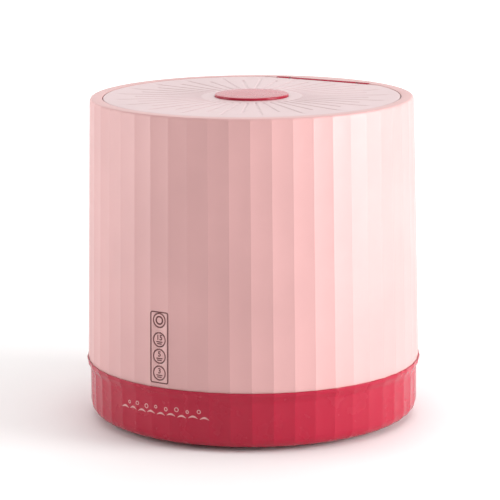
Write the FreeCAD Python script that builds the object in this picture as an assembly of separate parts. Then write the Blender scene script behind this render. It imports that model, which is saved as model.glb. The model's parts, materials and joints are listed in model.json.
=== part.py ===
import FreeCAD, Part
import math
import os

# Mini washing machine. Millimetres, +Z up, origin on the floor at the centre of the drum.
# The control panel faces -Y and the hinge, drain and power inlet are on the +Y side.

V = FreeCAD.Vector

# Fused pieces sink into each other by SINK, and cuts run past what they cut by PAST
SINK = 0.1
PAST = 1.0

# Fluting shared by the drum and the base
FLUTES = 50
FLUTE_STEP = 360.0 / FLUTES
FLUTE_DEPTH = 0.5
FRONT = -90.0

# Heights
FOOT_H = 3.0
LEDGE_Z = 44.6
LIP_Z = 48.6
SEAM_Z = 259.3
RIM_Z = 261.3
LID_Z = 261.1
DISC_Z = 263.2

# Drum
DRUM_FOOT_R = 135.0
DRUM_TAPER = 0.02156
DRUM_WALL = 2.4

# Base pan
BASE_R = 133.5
BASE_FILLET = 10.0
BASE_FLOOR = 2.5
BASE_INNER_R = 130.0
BASE_INNER_FILLET = 7.5
LIP_R = BASE_R + 2.9
LIP_INNER_R = 135.3
# The lip's flare, from below: how far out from BASE_R and how far under LIP_Z
LIP_FLARE = ((0.0, 8.1), (0.8, 5.6), (2.4, 3.2), (2.9, 1.6), (2.9, 0.7), (2.5, 0.0))
POST_RING_R = 120.5
POST_COUNT = 6
POST_R = 4.6
POST_TOP_Z = 36.0
POST_SEAT_Z = 26.0
POST_WELL_R = 3.2
POST_HOLE_R = 1.5
BARREL_BOSS_TOP_Z = 62.0
BARREL_RIB_LOW_Z = 46.0
BARREL_RIB_HALF = 1.5
FOOT_RING_R = 98.0
FOOT_R = 10.0
FOOT_EDGE = 1.0
FOOT_STEM_R = 3.0
FOOT_BARB_R = 4.4
FOOT_BARB_Z = 5.5
FOOT_TOP_Z = 8.0
NICHE_HALF = 54.0
NICHE_Y = 112.0
NICHE_LOW = 12.0
NICHE_HIGH = 38.0
NICHE_WALL = 2.5
PORT_Z = 25.0
PORT_X = 40.0

# Top ring, lid and hinge
RING_OUTER_R = 130.4
RIM_FILLET = RIM_Z - SEAM_Z
RING_TOP_WALL = 2.5
RING_SKIRT_R = 125.6
RING_SPIGOT_R = 127.4
OPENING_FILLET = 0.8
DECK_HALF = 80.0
OPENING_R = 120.2
LID_R = 119.7
LID_CHORD_Y = 106.0
DECK_Y = 106.8
LID_THICK = 2.2
LINER_LOW = 254.5
LINER_HIGH = 256.5
DISC_R = 29.8
RAYS = 42
RAY_TURN = 2.9
RAY_GROOVE_R = 1.8
RAY_DEPTH = 0.45
RAY_START_R = 41.0
RAY_LONG_R = 105.3
RAY_SHORT_R = 94.0
HINGE_Y = 110.0
HINGE_Z = 259.2
HINGE_R = 2.6
HINGE_MIDDLE = 62.0
HINGE_GAP = 3.5
KNUCKLE = 10.5
PIN_R = 1.25
POCKET_FLOOR_Z = 255.0
BRACKET_THICK = 1.1
BRACKET_WEB_HALF = 2.3
LEAF_START_Y = 84.0
LEAF_FOOT_R = 3.6
LID_EDGE_FILLET = 0.7
LID_PILLAR_R = 3.2
LID_SCREW_R = 88.0
LEAF_SCREW_X = 22.0
LEAF_SCREW_Y = 92.0
DISC_FILLET = 0.9
DISC_SEAT = 0.8
DISC_STEM_R = 5.0
LINER_INSET = 2.3
LINER_RING_R = 62.0
LINER_HUB_R = 10.0
LINER_RING_WALL = 1.5
GASKET_MIDDLE_R = 101.4
GASKET_LIP_R = 1.0
GASKET_TIP_Z = 252.9
DECK_LOW_Z = 253.5
RUNNING_GAP = 0.05

# Tub
TUB_WALL = 2.2
TUB_FLOOR_Z = 90.0
TUB_LOW_R = 91.0
TUB_HIGH_R = 96.5
TUB_FLANGE_Z = 251.5
TUB_FLANGE_R = 126.9
TUB_SCREW_R = 123.9
TUB_SCREW_COUNT = 6
TUB_FILLET = 9.5
TUB_ROLL_Z = 246.0
TUB_HUB_R = 15.0
TUB_BORE_R = 9.5
RIB_R = 2.0
RIB_LOW_Z = 125.0
RIB_HIGH_Z = 235.0

# Pulsator
DISH_LOW_Z = 91.5
DISH_R = 54.0
DISH_EDGE_R = 2.0
HUB_R = 12.0
HUB_TOP_Z = 110.0
HUB_WELL_R = 6.2
SHAFT_TOP_Z = 106.0
CAP_R = 11.5
CAP_TOP_Z = 116.0
FIN_COUNT = 6
FIN_THICK = 4.4
DISH_HOLE_R = 1.6
DISH_HOLE_RINGS = (24.0, 32.0, 40.0, 48.0)

# Drive train
SHAFT_R = 5.0
GEAR_COARSE = 1.25
GEAR_FINE = 1.0
OUTPUT_TEETH = 56
IDLER_SMALL_TEETH = 14
IDLER_LARGE_TEETH = 42
PINION_TEETH = 12
BACKLASH = 0.16
IDLER_Y = GEAR_COARSE * (OUTPUT_TEETH + IDLER_SMALL_TEETH) / 2
MOTOR_X = -25.0
MOTOR_Y = IDLER_Y - math.sqrt((GEAR_FINE * (IDLER_LARGE_TEETH + PINION_TEETH) / 2) ** 2 - MOTOR_X ** 2)
CASE_LOW = 58.0
CASE_SPLIT = 70.0
CASE_HIGH = 82.5
CASE_WALL = 2.4
CASE_FLOOR = 2.5
CASE_SHAFT_R = 40.0
CASE_IDLER_R = 25.0
CASE_PINION_R = 16.0
EAR_R = 5.0
EAR_LOW_Z = 66.0
EAR_RING_R = 43.5
EAR_ANGLES = (10.0, -60.0, -130.0, 160.0)
AXLE_R = 2.5
AXLE_LOW_Z = 58.8
AXLE_HIGH_Z = 81.5
UPPER_BEARING_R = 11.0
UPPER_BEARING_Z = 76.5
LOWER_BEARING_R = 8.0
LOWER_BEARING_Z = 61.5
BEARING_GAP = 0.03
PRESSURE_ANGLE = math.radians(20)

# Motor
MOTOR_R = 18.0
MOTOR_WALL = 1.2
MOTOR_LOW_Z = 10.0
MOTOR_CAP_Z = 14.0
MOTOR_SHAFT_R = 1.6
ARMATURE_R = 11.0
MAGNET_R = 16.7
MAGNET_INNER_R = 12.2
MOTOR_SCREW_R = 8.0

# Control panel, in its own frame: x across, v up the leaning wall, w inwards from the flute's face
PANEL_Z = 80.25
PANEL_W = 16.6
PANEL_H = 57.0
PANEL_CORNER = 2.0
PANEL_FACE = -0.1
PANEL_BACK = 4.0
KEY_R = 5.8
KEY_HOLE_R = 6.1
KEY_V = {
    "power_button": 21.45,
    "program_button_long": 6.05,
    "program_button_medium": -7.05,
    "program_button_short": -20.45,
}
KEY_FILLET = 0.3
KEY_EAR_HALF_W = 7.2
KEY_EAR_HALF_H = 2.2
KEY_STEM_R = 1.75
KEY_STEM_END = 9.0
SWITCH_HALF = 3.1
SWITCH_DEPTH = 3.5
PANEL_FLANGE_W = 20.0
PANEL_FLANGE_CORNER = 3.0
PANEL_STEP = 2.85
WINDOW_GAP = 0.4
TRIM_BORDER = 0.5
TRIM_PROUD = 0.15
TRIM_BACK = 1.2
BOSS_V = 32.0
BOSS_R = 3.2
BOSS_HOLE_R = 1.12
BOARD_W = 14.9
BOARD_THICK = 1.6
BOARD_SIZE = (22.0, 72.0)
BOARD_CORNER = 1.5

# Drain: strainer in the tub's floor, hose inside the base, spigot through the rear niche
DRAIN_X = 40.0
DRAIN_Y = 62.0
HOSE_OUTER_R = 9.0
HOSE_BORE_R = 6.85
HOSE_BEND = 22.0
BARB_R = 6.8
SPIGOT_NECK_R = 7.4
SPIGOT_R = 7.0
SPIGOT_BORE_R = 5.0
SPIGOT_END_Y = 126.0
SPIGOT_COLLAR_R = 10.0
SPIGOT_COLLAR_Y = 107.2
BARB_END_Y = 98.0
HOSE_END_Y = 107.0
HOSE_TOP_Z = 86.0
STRAINER_R = 8.4
STRAINER_SEAT_Z = 89.2
STRAINER_TOP_Z = 90.8
STRAINER_HOLE_R = 1.1
STRAINER_RING_R = 3.2
PLUG_HEAD_R = 6.6
PLUG_HEAD = 1.9
PLUG_GRIP = 3.0
PLUG_GRIP_HALF = 5.0
PLUG_GRIP_HALF_THICK = 1.3

# Power inlet: a socket for a 5.5 mm barrel plug with a 2.0 mm centre pin
INLET_R = 5.0
INLET_BORE_R = 2.75
INLET_PIN_R = 1.0
INLET_HALF = 6.0
INLET_BACK_Y = 95.0
POWER_BOARD_LOW_Z = 17.0
POWER_BOARD_TOP_Z = 18.6
POWER_BOARD_HALF = 19.0
POWER_BOARD_Y = (62.0, 93.0)
BOARD_POST_X = 15.0
BOARD_POST_Y = (71.0, 88.0)
BOARD_POST_R = 3.4
BOARD_POST_HOLE_R = 1.2

# Screw sizes
SELF_TAP_R = 1.4
SELF_TAP_HOLE_R = 1.42
SMALL_TAP_R = 1.2
SMALL_TAP_HOLE_R = 1.25
CASE_BOLT_R = 1.7
CASE_BOLT_HOLE_R = 1.72
CROSS_HALF = 0.35
CROSS_DEPTH = 0.8
CROSS_REACH = 0.6


# ---- small building blocks ----

def polar(radius, angle, z=0.0):
    turn = math.radians(angle)
    return V(radius * math.cos(turn), radius * math.sin(turn), z)


def cyl(radius, low, high, x=0.0, y=0.0):
    return Part.makeCylinder(radius, high - low, V(x, y, low))


def tube(outer, inner, low, high, x=0.0, y=0.0):
    return cyl(outer, low, high, x, y).cut(cyl(inner, low, high, x, y))


def rod_x(radius, x0, x1, y, z):
    return Part.makeCylinder(radius, x1 - x0, V(x0, y, z), V(1, 0, 0))


def rod_y(radius, y0, y1, x, z):
    return Part.makeCylinder(radius, y1 - y0, V(x, y0, z), V(0, 1, 0))


def block(x0, x1, y0, y1, z0, z1):
    return Part.makeBox(x1 - x0, y1 - y0, z1 - z0, V(x0, y0, z0))


def fuse(shapes):
    result = shapes[0].multiFuse(shapes[1:]) if len(shapes) > 1 else shapes[0]
    return result.removeSplitter()


def group(shapes):
    return Part.makeCompound(shapes)


def outline(*moves):
    """A closed wire in XZ: (r, z) is a straight move, ((r, z), (r, z)) an arc by its middle and end."""
    start = V(moves[0][0], 0, moves[0][1])
    here = start
    edges = []
    for move in moves[1:]:
        if isinstance(move[0], tuple):
            middle = V(move[0][0], 0, move[0][1])
            end = V(move[1][0], 0, move[1][1])
            edges.append(Part.Arc(here, middle, end).toShape())
        else:
            end = V(move[0], 0, move[1])
            edges.append(Part.makeLine(here, end))
        here = end
    if here.distanceToPoint(start) > 1e-6:
        edges.append(Part.makeLine(here, start))
    return Part.Wire(edges)


def spun(*moves):
    return Part.Face(outline(*moves)).revolve(V(0, 0, 0), V(0, 0, 1), 360)


def corner_arc(cx, cz, radius, start, end):
    """Middle and end of an arc about (cx, cz), for outline()."""
    def at(angle):
        return (cx + radius * math.cos(math.radians(angle)), cz + radius * math.sin(math.radians(angle)))
    return (at((start + end) / 2), at(end))


def around(shape, angles):
    return [turned(shape, angle) for angle in angles]


def turned(shape, angle):
    copy = shape.copy()
    copy.rotate(V(0, 0, 0), V(0, 0, 1), angle)
    return copy


def screw(x, y, seat, length, shank=SELF_TAP_R, head=2.7, thick=1.8):
    """A pan head screw pointing up: its head hangs below the seat."""
    body = cyl(head, seat - thick, seat, x, y).fuse(cyl(shank, seat, seat + length, x, y))
    slot = head * CROSS_REACH
    cross = block(-slot, slot, -CROSS_HALF, CROSS_HALF, 0, CROSS_DEPTH)
    cross = cross.fuse(block(-CROSS_HALF, CROSS_HALF, -slot, slot, 0, CROSS_DEPTH))
    cross.translate(V(x, y, seat - thick))
    return body.cut(cross)


def rounded_plate(width, height, corner, w0, w1):
    """An upright plate about the origin, facing -Y, from depth w0 to w1."""
    plate = block(-width / 2, width / 2, w0, w1, -height / 2, height / 2)
    upright = [e for e in plate.Edges if abs(e.Vertexes[0].Y - e.Vertexes[1].Y) > 0.01]
    return plate.makeFillet(corner, upright)


# ---- fluted shells ----

def flute_wire(crest, z):
    edges = []
    for i in range(FLUTES):
        start = FRONT + (i - 0.5) * FLUTE_STEP
        first = polar(crest, start, z)
        middle = polar(crest - FLUTE_DEPTH, start + FLUTE_STEP / 2, z)
        last = polar(crest, start + FLUTE_STEP, z)
        edges.append(Part.Arc(first, middle, last).toShape())
    return Part.Wire(edges)


def fluted(sections):
    return Part.makeLoft([flute_wire(r, z) for r, z in sections], True, True)


def drum_radius(z):
    return DRUM_FOOT_R - DRUM_TAPER * (z - LIP_Z)


def drum_inner(z):
    return drum_radius(z) - FLUTE_DEPTH - DRUM_WALL


# ---- base ----

def base_sections():
    rows = []
    for step in range(5):
        turn = math.radians(22.5 * step)
        r = BASE_R - BASE_FILLET + BASE_FILLET * math.sin(turn)
        z = FOOT_H + BASE_FILLET - BASE_FILLET * math.cos(turn)
        rows.append((r, z))
    return rows + [(BASE_R + out, LIP_Z - under) for out, under in LIP_FLARE]


def base_pan():
    outer = fluted(base_sections())
    floor = FOOT_H + BASE_FLOOR
    flat_r = BASE_INNER_R - BASE_INNER_FILLET
    cavity = spun(
        (0, floor), (flat_r, floor),
        corner_arc(flat_r, floor + BASE_INNER_FILLET, BASE_INNER_FILLET, -90, 0),
        (BASE_INNER_R, LIP_Z + PAST), (0, LIP_Z + PAST),
    )
    shell = outer.cut(cavity).cut(fluted([(LIP_INNER_R, LEDGE_Z), (LIP_INNER_R, LIP_Z + PAST)]))
    posts = around(cyl(POST_R, floor - PAST, POST_TOP_Z, POST_RING_R), post_angles())
    wall = block(
        -NICHE_HALF - NICHE_WALL, NICHE_HALF + NICHE_WALL, NICHE_Y - NICHE_WALL, LIP_R,
        NICHE_LOW - NICHE_WALL, NICHE_HIGH + NICHE_WALL,
    )
    shell = fuse([shell, wall.common(outer)] + posts)
    shell = shell.cut(block(-NICHE_HALF, NICHE_HALF, NICHE_Y, LIP_R + PAST, NICHE_LOW, NICHE_HIGH))
    wall_y = (NICHE_Y - NICHE_WALL - PAST, NICHE_Y + PAST)
    channels = around(cyl(POST_WELL_R, 0, POST_SEAT_Z, POST_RING_R), post_angles())
    channels += around(cyl(POST_HOLE_R, 0, POST_TOP_Z + PAST, POST_RING_R), post_angles())
    channels += around(cyl(FOOT_STEM_R + RUNNING_GAP, 0, FOOT_TOP_Z, FOOT_RING_R), foot_angles())
    channels.append(rod_y(SPIGOT_NECK_R + RUNNING_GAP, *wall_y, DRAIN_X, PORT_Z))
    channels.append(rod_y(INLET_R + 2 * RUNNING_GAP, *wall_y, -PORT_X, PORT_Z))
    shell = shell.cut(group(channels))
    posts = [
        tube(BOARD_POST_R, BOARD_POST_HOLE_R, floor - SINK, POWER_BOARD_LOW_Z, x, y)
        for x, y in board_posts()
    ]
    return fuse([shell] + posts)


def post_angles():
    return [360 * i / POST_COUNT for i in range(POST_COUNT)]


def foot_angles():
    return [45 + 90 * i for i in range(4)]


def board_posts():
    return [(-PORT_X + x, y) for x in (-BOARD_POST_X, BOARD_POST_X) for y in BOARD_POST_Y]


def rubber_feet():
    """Four pads, each with a stem through the base and a barb that holds it."""
    flat_r = FOOT_R - FOOT_EDGE
    edge = corner_arc(flat_r, FOOT_EDGE, FOOT_EDGE, -90, 0)
    pad = spun((0, 0), (flat_r, 0), edge, (FOOT_R, FOOT_H), (0, FOOT_H))
    barb = spun((0, FOOT_BARB_Z), (FOOT_BARB_R, FOOT_BARB_Z), (FOOT_STEM_R, FOOT_TOP_Z), (0, FOOT_TOP_Z))
    stem = cyl(FOOT_STEM_R, FOOT_H, FOOT_BARB_Z).fuse(barb)
    foot = pad.fuse(stem)
    foot.translate(V(FOOT_RING_R, 0, 0))
    return group(around(foot, foot_angles()))


def base_screws():
    return group(around(screw(POST_RING_R, 0, POST_SEAT_Z, 24), post_angles()))


# ---- drum ----

def outer_barrel():
    shell = fluted([(drum_radius(LEDGE_Z), LEDGE_Z), (drum_radius(SEAM_Z), SEAM_Z)])
    shell = shell.cut(spun(
        (0, LEDGE_Z - PAST), (drum_inner(LEDGE_Z - PAST), LEDGE_Z - PAST),
        (drum_inner(SEAM_Z + PAST), SEAM_Z + PAST), (0, SEAM_Z + PAST),
    ))
    boss = cyl(POST_R, POST_TOP_Z, BARREL_BOSS_TOP_Z, POST_RING_R)
    rib = block(
        POST_RING_R + 3, drum_inner(BARREL_BOSS_TOP_Z) + PAST,
        -BARREL_RIB_HALF, BARREL_RIB_HALF, BARREL_RIB_LOW_Z, BARREL_BOSS_TOP_Z,
    )
    shell = fuse([shell] + around(boss.fuse(rib), post_angles()) + board_bosses())
    holes = around(cyl(SELF_TAP_HOLE_R, POST_TOP_Z - PAST, POST_TOP_Z + 15, POST_RING_R), post_angles())
    window = rounded_plate(PANEL_W + WINDOW_GAP, PANEL_H + WINDOW_GAP, PANEL_CORNER, -4, PANEL_STEP - SINK)
    return shell.cut(group(holes + [on_wall(window)] + board_boss_holes()))


def wall_face():
    """The y of the drum's flute face at the panel's middle."""
    return -(drum_radius(PANEL_Z) - FLUTE_DEPTH)


def on_wall(shape):
    """Moves a shape from the panel's frame to the leaning front wall."""
    placed = shape.copy()
    placed.rotate(V(0, 0, 0), V(1, 0, 0), -math.degrees(math.atan(DRUM_TAPER)))
    placed.translate(V(0, wall_face(), PANEL_Z))
    return placed


def board_bosses():
    return [on_wall(rod_y(BOSS_R, 1.5, BOARD_W, 0, v)) for v in (-BOSS_V, BOSS_V)]


def board_boss_holes():
    return [on_wall(rod_y(BOSS_HOLE_R, 7, BOARD_W + PAST, 0, v)) for v in (-BOSS_V, BOSS_V)]


def top_ring():
    """The rim, hollow below, with a deck and a pocket for the hinge and bosses for the tub's screws."""
    ring_ceiling = RIM_Z - RING_TOP_WALL
    ring = spun(
        (RING_OUTER_R, SEAM_Z),
        corner_arc(RING_OUTER_R - RIM_FILLET, SEAM_Z, RIM_FILLET, 0, 90),
        (OPENING_R + OPENING_FILLET, RIM_Z),
        corner_arc(OPENING_R + OPENING_FILLET, RIM_Z - OPENING_FILLET, OPENING_FILLET, 90, 180),
        (OPENING_R, TUB_FLANGE_Z), (OPENING_R + 2, TUB_FLANGE_Z), (OPENING_R + 2, ring_ceiling),
        (RING_SKIRT_R, ring_ceiling), (RING_SKIRT_R, TUB_FLANGE_Z),
        (RING_SPIGOT_R, TUB_FLANGE_Z), (RING_SPIGOT_R, SEAM_Z),
    )
    deck = cyl(OPENING_R + PAST, DECK_LOW_Z, RIM_Z)
    deck = deck.common(block(-DECK_HALF, DECK_HALF, DECK_Y, RING_OUTER_R, DECK_LOW_Z, RIM_Z))
    bosses = around(cyl(3.0, TUB_FLANGE_Z, ring_ceiling + SINK, TUB_SCREW_R), tub_screw_angles())
    ring = fuse([ring, deck] + bosses)
    half = HINGE_MIDDLE / 2 + HINGE_GAP + KNUCKLE + 0.4
    cuts = [block(-half, half, DECK_Y - PAST, HINGE_Y + 4, POCKET_FLOOR_Z, RIM_Z)]
    cuts += [cyl(SMALL_TAP_HOLE_R, DECK_LOW_Z, POCKET_FLOOR_Z, x, HINGE_Y) for x in hinge_screw_xs()]
    cuts += around(cyl(SELF_TAP_HOLE_R, TUB_FLANGE_Z, RIM_Z - 3.8, TUB_SCREW_R), tub_screw_angles())
    return ring.cut(group(cuts))


def tub_screw_angles():
    return [360 * i / TUB_SCREW_COUNT for i in range(TUB_SCREW_COUNT)]


# ---- control panel ----

def control_panel():
    """The face plate, with a wider flange behind the drum's wall."""
    plate = panel_inside(PANEL_FACE, PANEL_STEP + SINK)
    plate = plate.fuse(
        rounded_plate(PANEL_FLANGE_W, PANEL_H, PANEL_FLANGE_CORNER, PANEL_STEP, PANEL_BACK))
    holes = [rod_y(KEY_HOLE_R, PANEL_FACE - PAST, PANEL_BACK + PAST, 0, v) for v in KEY_V.values()]
    return on_wall(plate.cut(group(holes)))


def panel_inside(w0, w1):
    border = 2 * TRIM_BORDER
    return rounded_plate(PANEL_W - border, PANEL_H - border, PANEL_CORNER - TRIM_BORDER, w0, w1)


def panel_trim():
    frame = rounded_plate(PANEL_W, PANEL_H, PANEL_CORNER, PANEL_FACE - TRIM_PROUD, TRIM_BACK)
    return on_wall(frame.cut(panel_inside(PANEL_FACE - PAST, TRIM_BACK + PAST)))


def panel_key(v):
    """A round cap, ears that keep it behind the plate, and a stem to its switch."""
    back = PANEL_BACK + SINK
    cap = rod_y(KEY_R, PANEL_FACE, back, 0, v)
    cap = cap.makeFillet(KEY_FILLET, [e for e in cap.Edges if abs(e.BoundBox.YMax - PANEL_FACE) < 1e-4])
    ears = block(
        -KEY_EAR_HALF_W, KEY_EAR_HALF_W, back, back + 1.0, v - KEY_EAR_HALF_H, v + KEY_EAR_HALF_H)
    stem = rod_y(KEY_STEM_R, back + 1.0, KEY_STEM_END, 0, v)
    return on_wall(cap.fuse(ears).fuse(stem))


def key_switches():
    return group([on_wall(key_switch(v)) for v in KEY_V.values()])


def key_switch(v):
    front = BOARD_W - SWITCH_DEPTH
    body = block(-SWITCH_HALF, SWITCH_HALF, front, BOARD_W, v - SWITCH_HALF, v + SWITCH_HALF)
    return body.fuse(rod_y(KEY_STEM_R, front - 1.5, front, 0, v))


def control_board():
    """The board, its chip and the socket for the panel cable."""
    back = BOARD_W + BOARD_THICK
    board = rounded_plate(*BOARD_SIZE, BOARD_CORNER, BOARD_W, back)
    holes = [rod_y(SMALL_TAP_R, BOARD_W - PAST, back + PAST, 0, v) for v in (-BOSS_V, BOSS_V)]
    chip = block(-4, 4, back, back + 1.2, -4, 8)
    header = block(-9, 3, back, back + 5.4, -28, -22)
    return on_wall(board.cut(group(holes)).fuse(chip).fuse(header))


def board_screws():
    back = BOARD_W + BOARD_THICK
    screws = []
    for v in (-BOSS_V, BOSS_V):
        head = rod_y(2.2, back, back + 1.6, 0, v)
        screws.append(on_wall(head.fuse(rod_y(1.1, 7.5, back, 0, v))))
    return group(screws)


# ---- lid ----

def lid_disc_shape(radius, low, high, chord):
    """A round plate with its rear cut straight at y = chord."""
    return cyl(radius, low, high).common(block(-radius, radius, -radius, chord, low, high))


def lid_cover():
    top = lid_disc_shape(LID_R, LINER_HIGH, LID_Z, LID_CHORD_Y)
    rim = [e for e in top.Edges if e.BoundBox.ZMin > LID_Z - 0.01]
    top = top.makeFillet(LID_EDGE_FILLET, rim)
    top = top.cut(lid_disc_shape(LID_R - 2, LINER_HIGH - PAST, LID_Z - LID_THICK, LID_CHORD_Y - 2))
    pillars = [cyl(LID_PILLAR_R, LINER_HIGH, LID_Z - 1.5, p.x, p.y) for p in lid_screw_spots()[:4]]
    top = fuse([top] + pillars)
    top = top.cut(cyl(DISC_R + 2 * SINK, LID_Z - DISC_SEAT, LID_Z + PAST))
    top = top.cut(cyl(DISC_STEM_R + SINK, LINER_HIGH, LID_Z))
    taps = [cyl(SMALL_TAP_HOLE_R, LINER_HIGH, LID_Z - 1.3, p.x, p.y) for p in lid_screw_spots()]
    top = top.cut(group(taps))
    top = top.cut(hinge_leaf_slot())
    return top.cut(group([sun_ray(i) for i in range(RAYS)]))


def sun_ray(index):
    """One shallow round groove of the sunburst, long and short by turns."""
    far = RAY_LONG_R if index % 2 == 0 else RAY_SHORT_R
    groove = rod_x(RAY_GROOVE_R, RAY_START_R, far, 0, LID_Z + RAY_GROOVE_R - RAY_DEPTH)
    return turned(groove, FRONT + RAY_TURN + index * 360.0 / RAYS)


def lid_disc():
    seat = LID_Z - DISC_SEAT
    button = cyl(DISC_R, seat, DISC_Z)
    button = button.makeFillet(DISC_FILLET, [e for e in button.Edges if e.BoundBox.ZMin > DISC_Z - 0.01])
    return button.fuse(cyl(DISC_STEM_R, LINER_HIGH + 0.5, seat))


def lid_liner():
    """The inner plate, with two rings that stiffen it against the cover."""
    plate = lid_disc_shape(LID_R - LINER_INSET, LINER_LOW, LINER_HIGH, LID_CHORD_Y - LINER_INSET)
    ring_z = (LINER_HIGH - SINK, LID_Z - LID_THICK - SINK)
    rings = [tube(r, r - LINER_RING_WALL, *ring_z) for r in (LINER_RING_R, LINER_HUB_R)]
    plate = fuse([plate] + rings)
    return plate.cut(group([cyl(SMALL_TAP_HOLE_R, LINER_LOW, LINER_HIGH, p.x, p.y)
                            for p in lid_screw_spots()]))


def lid_gasket():
    """A soft ring under the liner, over the tub's rolled mouth."""
    inner = GASKET_MIDDLE_R - GASKET_LIP_R
    outer = GASKET_MIDDLE_R + GASKET_LIP_R
    lip = corner_arc(GASKET_MIDDLE_R, GASKET_TIP_Z, GASKET_LIP_R, 180, 360)
    return spun((inner, LINER_LOW), (inner, GASKET_TIP_Z), lip, (outer, LINER_LOW))


def lid_screw_spots():
    """Four screws hold the cover, and two more go into the hinge's leaf."""
    leaf = [V(x, LEAF_SCREW_Y, 0) for x in (-LEAF_SCREW_X, LEAF_SCREW_X)]
    return [polar(LID_SCREW_R, 45 + 90 * i) for i in range(4)] + leaf


def lid_screws():
    return group([screw(p.x, p.y, LINER_LOW, 5.0, SMALL_TAP_R, 2.4, 1.4) for p in lid_screw_spots()])


def hinge_leaf_slot():
    """Where the hinge's leaf passes through the lid's rear skirt."""
    half = HINGE_MIDDLE / 2 + 0.3
    ceiling = LID_Z - LID_THICK - RUNNING_GAP
    return block(-half, half, LID_CHORD_Y - 2.2, LID_CHORD_Y + SINK, LINER_HIGH - PAST, ceiling)


def lid_hinge_barrel():
    half = HINGE_MIDDLE / 2
    barrel = rod_x(HINGE_R, -half, half, HINGE_Y, HINGE_Z)
    leaf = block(-half, half, LEAF_START_Y, HINGE_Y, HINGE_Z - HINGE_R, LID_Z - LID_THICK - 0.2)
    screws = lid_screw_spots()[4:]
    feet = [cyl(LEAF_FOOT_R, LINER_HIGH, HINGE_Z - HINGE_R, p.x, p.y) for p in screws]
    keep = block(-half, half, LEAF_START_Y - 4, HINGE_Y + HINGE_R, LINER_HIGH, HINGE_Z + HINGE_R)
    shape = fuse([barrel, leaf] + feet).common(keep)
    shape = shape.cut(rod_x(PIN_R + RUNNING_GAP, -half - PAST, half + PAST, HINGE_Y, HINGE_Z))
    return shape.cut(group([cyl(SMALL_TAP_HOLE_R, LINER_HIGH, RIM_Z, p.x, p.y) for p in screws]))


def hinge_bracket():
    reach = HINGE_MIDDLE / 2 + HINGE_GAP
    end = reach + KNUCKLE
    plate_top = POCKET_FLOOR_Z + BRACKET_THICK
    parts = [block(-end, end, HINGE_Y - 3, HINGE_Y + 3.4, POCKET_FLOOR_Z, plate_top)]
    web = (HINGE_Y - BRACKET_WEB_HALF, HINGE_Y + BRACKET_WEB_HALF)
    for x0, x1 in ((-end, -reach), (reach, end)):
        parts.append(rod_x(HINGE_R, x0, x1, HINGE_Y, HINGE_Z))
        parts.append(block(x0, x1, *web, plate_top - SINK, HINGE_Z))
    bracket = fuse(parts).cut(rod_x(PIN_R + 0.01, -end - PAST, end + PAST, HINGE_Y, HINGE_Z))
    tap_top_z = HINGE_Z - PIN_R - 0.2
    taps = [cyl(SMALL_TAP_HOLE_R, DECK_LOW_Z, tap_top_z, x, HINGE_Y) for x in hinge_screw_xs()]
    return bracket.cut(group(taps))


def hinge_screw_xs():
    middle = HINGE_MIDDLE / 2 + HINGE_GAP + KNUCKLE / 2
    return (-middle, middle)


def hinge_screws():
    return group([screw(x, HINGE_Y, DECK_LOW_Z, 4.1, SMALL_TAP_R, 2.4, 1.4) for x in hinge_screw_xs()])


def hinge_pin():
    end = HINGE_MIDDLE / 2 + HINGE_GAP + KNUCKLE - 0.5
    return rod_x(PIN_R, -end, end, HINGE_Y, HINGE_Z)


# ---- tub ----

def wash_tub():
    mouth_r = TUB_HIGH_R + 3.0
    flat_r = TUB_LOW_R - TUB_FILLET
    turn_z = TUB_FLOOR_Z + TUB_FILLET
    under = TUB_FLOOR_Z - PAST
    shell = spun(
        (0, TUB_FLOOR_Z), (flat_r, TUB_FLOOR_Z),
        corner_arc(flat_r, turn_z, TUB_FILLET, -90, 0),
        (TUB_HIGH_R, TUB_ROLL_Z), ((TUB_HIGH_R + 0.8, TUB_ROLL_Z + 4.2), (mouth_r, TUB_FLANGE_Z)),
        (TUB_FLANGE_R, TUB_FLANGE_Z), (TUB_FLANGE_R, TUB_FLANGE_Z - TUB_WALL),
        (mouth_r + 0.6, TUB_FLANGE_Z - TUB_WALL), (TUB_HIGH_R + TUB_WALL, TUB_ROLL_Z - 2.0),
        (TUB_LOW_R + TUB_WALL, turn_z),
        corner_arc(flat_r, turn_z, TUB_FILLET + TUB_WALL, 0, -90),
        (0, TUB_FLOOR_Z - TUB_WALL),
    )
    hub = cyl(TUB_HUB_R, CASE_HIGH + SINK, under)
    stub = cyl(BARB_R, HOSE_TOP_Z - 10, under, DRAIN_X, DRAIN_Y)
    bosses = around(cyl(4.5, CASE_HIGH, under, EAR_RING_R), EAR_ANGLES)
    shell = fuse([shell, hub, stub] + bosses + [tub_rib(30 + 60 * i) for i in range(6)])
    holes = [cyl(TUB_BORE_R, CASE_HIGH, TUB_FLOOR_Z + PAST)]
    holes.append(cyl(5.4, HOSE_TOP_Z - 10, TUB_FLOOR_Z, DRAIN_X, DRAIN_Y))
    holes.append(cyl(STRAINER_R + 0.2, STRAINER_SEAT_Z, TUB_FLOOR_Z + PAST, DRAIN_X, DRAIN_Y))
    holes += around(cyl(CASE_BOLT_HOLE_R, CASE_HIGH, TUB_FLOOR_Z - 2.6, EAR_RING_R), EAR_ANGLES)
    holes += around(cyl(SELF_TAP_HOLE_R, TUB_ROLL_Z, TUB_FLANGE_Z, TUB_SCREW_R), tub_screw_angles())
    return shell.cut(group(holes))


def tub_rib(angle):
    """A rounded scrubbing rib up the tub's wall."""
    low = polar(tub_radius(RIB_LOW_Z) + SINK, angle, RIB_LOW_Z)
    high = polar(tub_radius(RIB_HIGH_Z) + SINK, angle, RIB_HIGH_Z)
    run = high - low
    rib = Part.makeCylinder(RIB_R, run.Length, low, run)
    return rib.fuse([Part.makeSphere(RIB_R, low), Part.makeSphere(RIB_R, high)])


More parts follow.
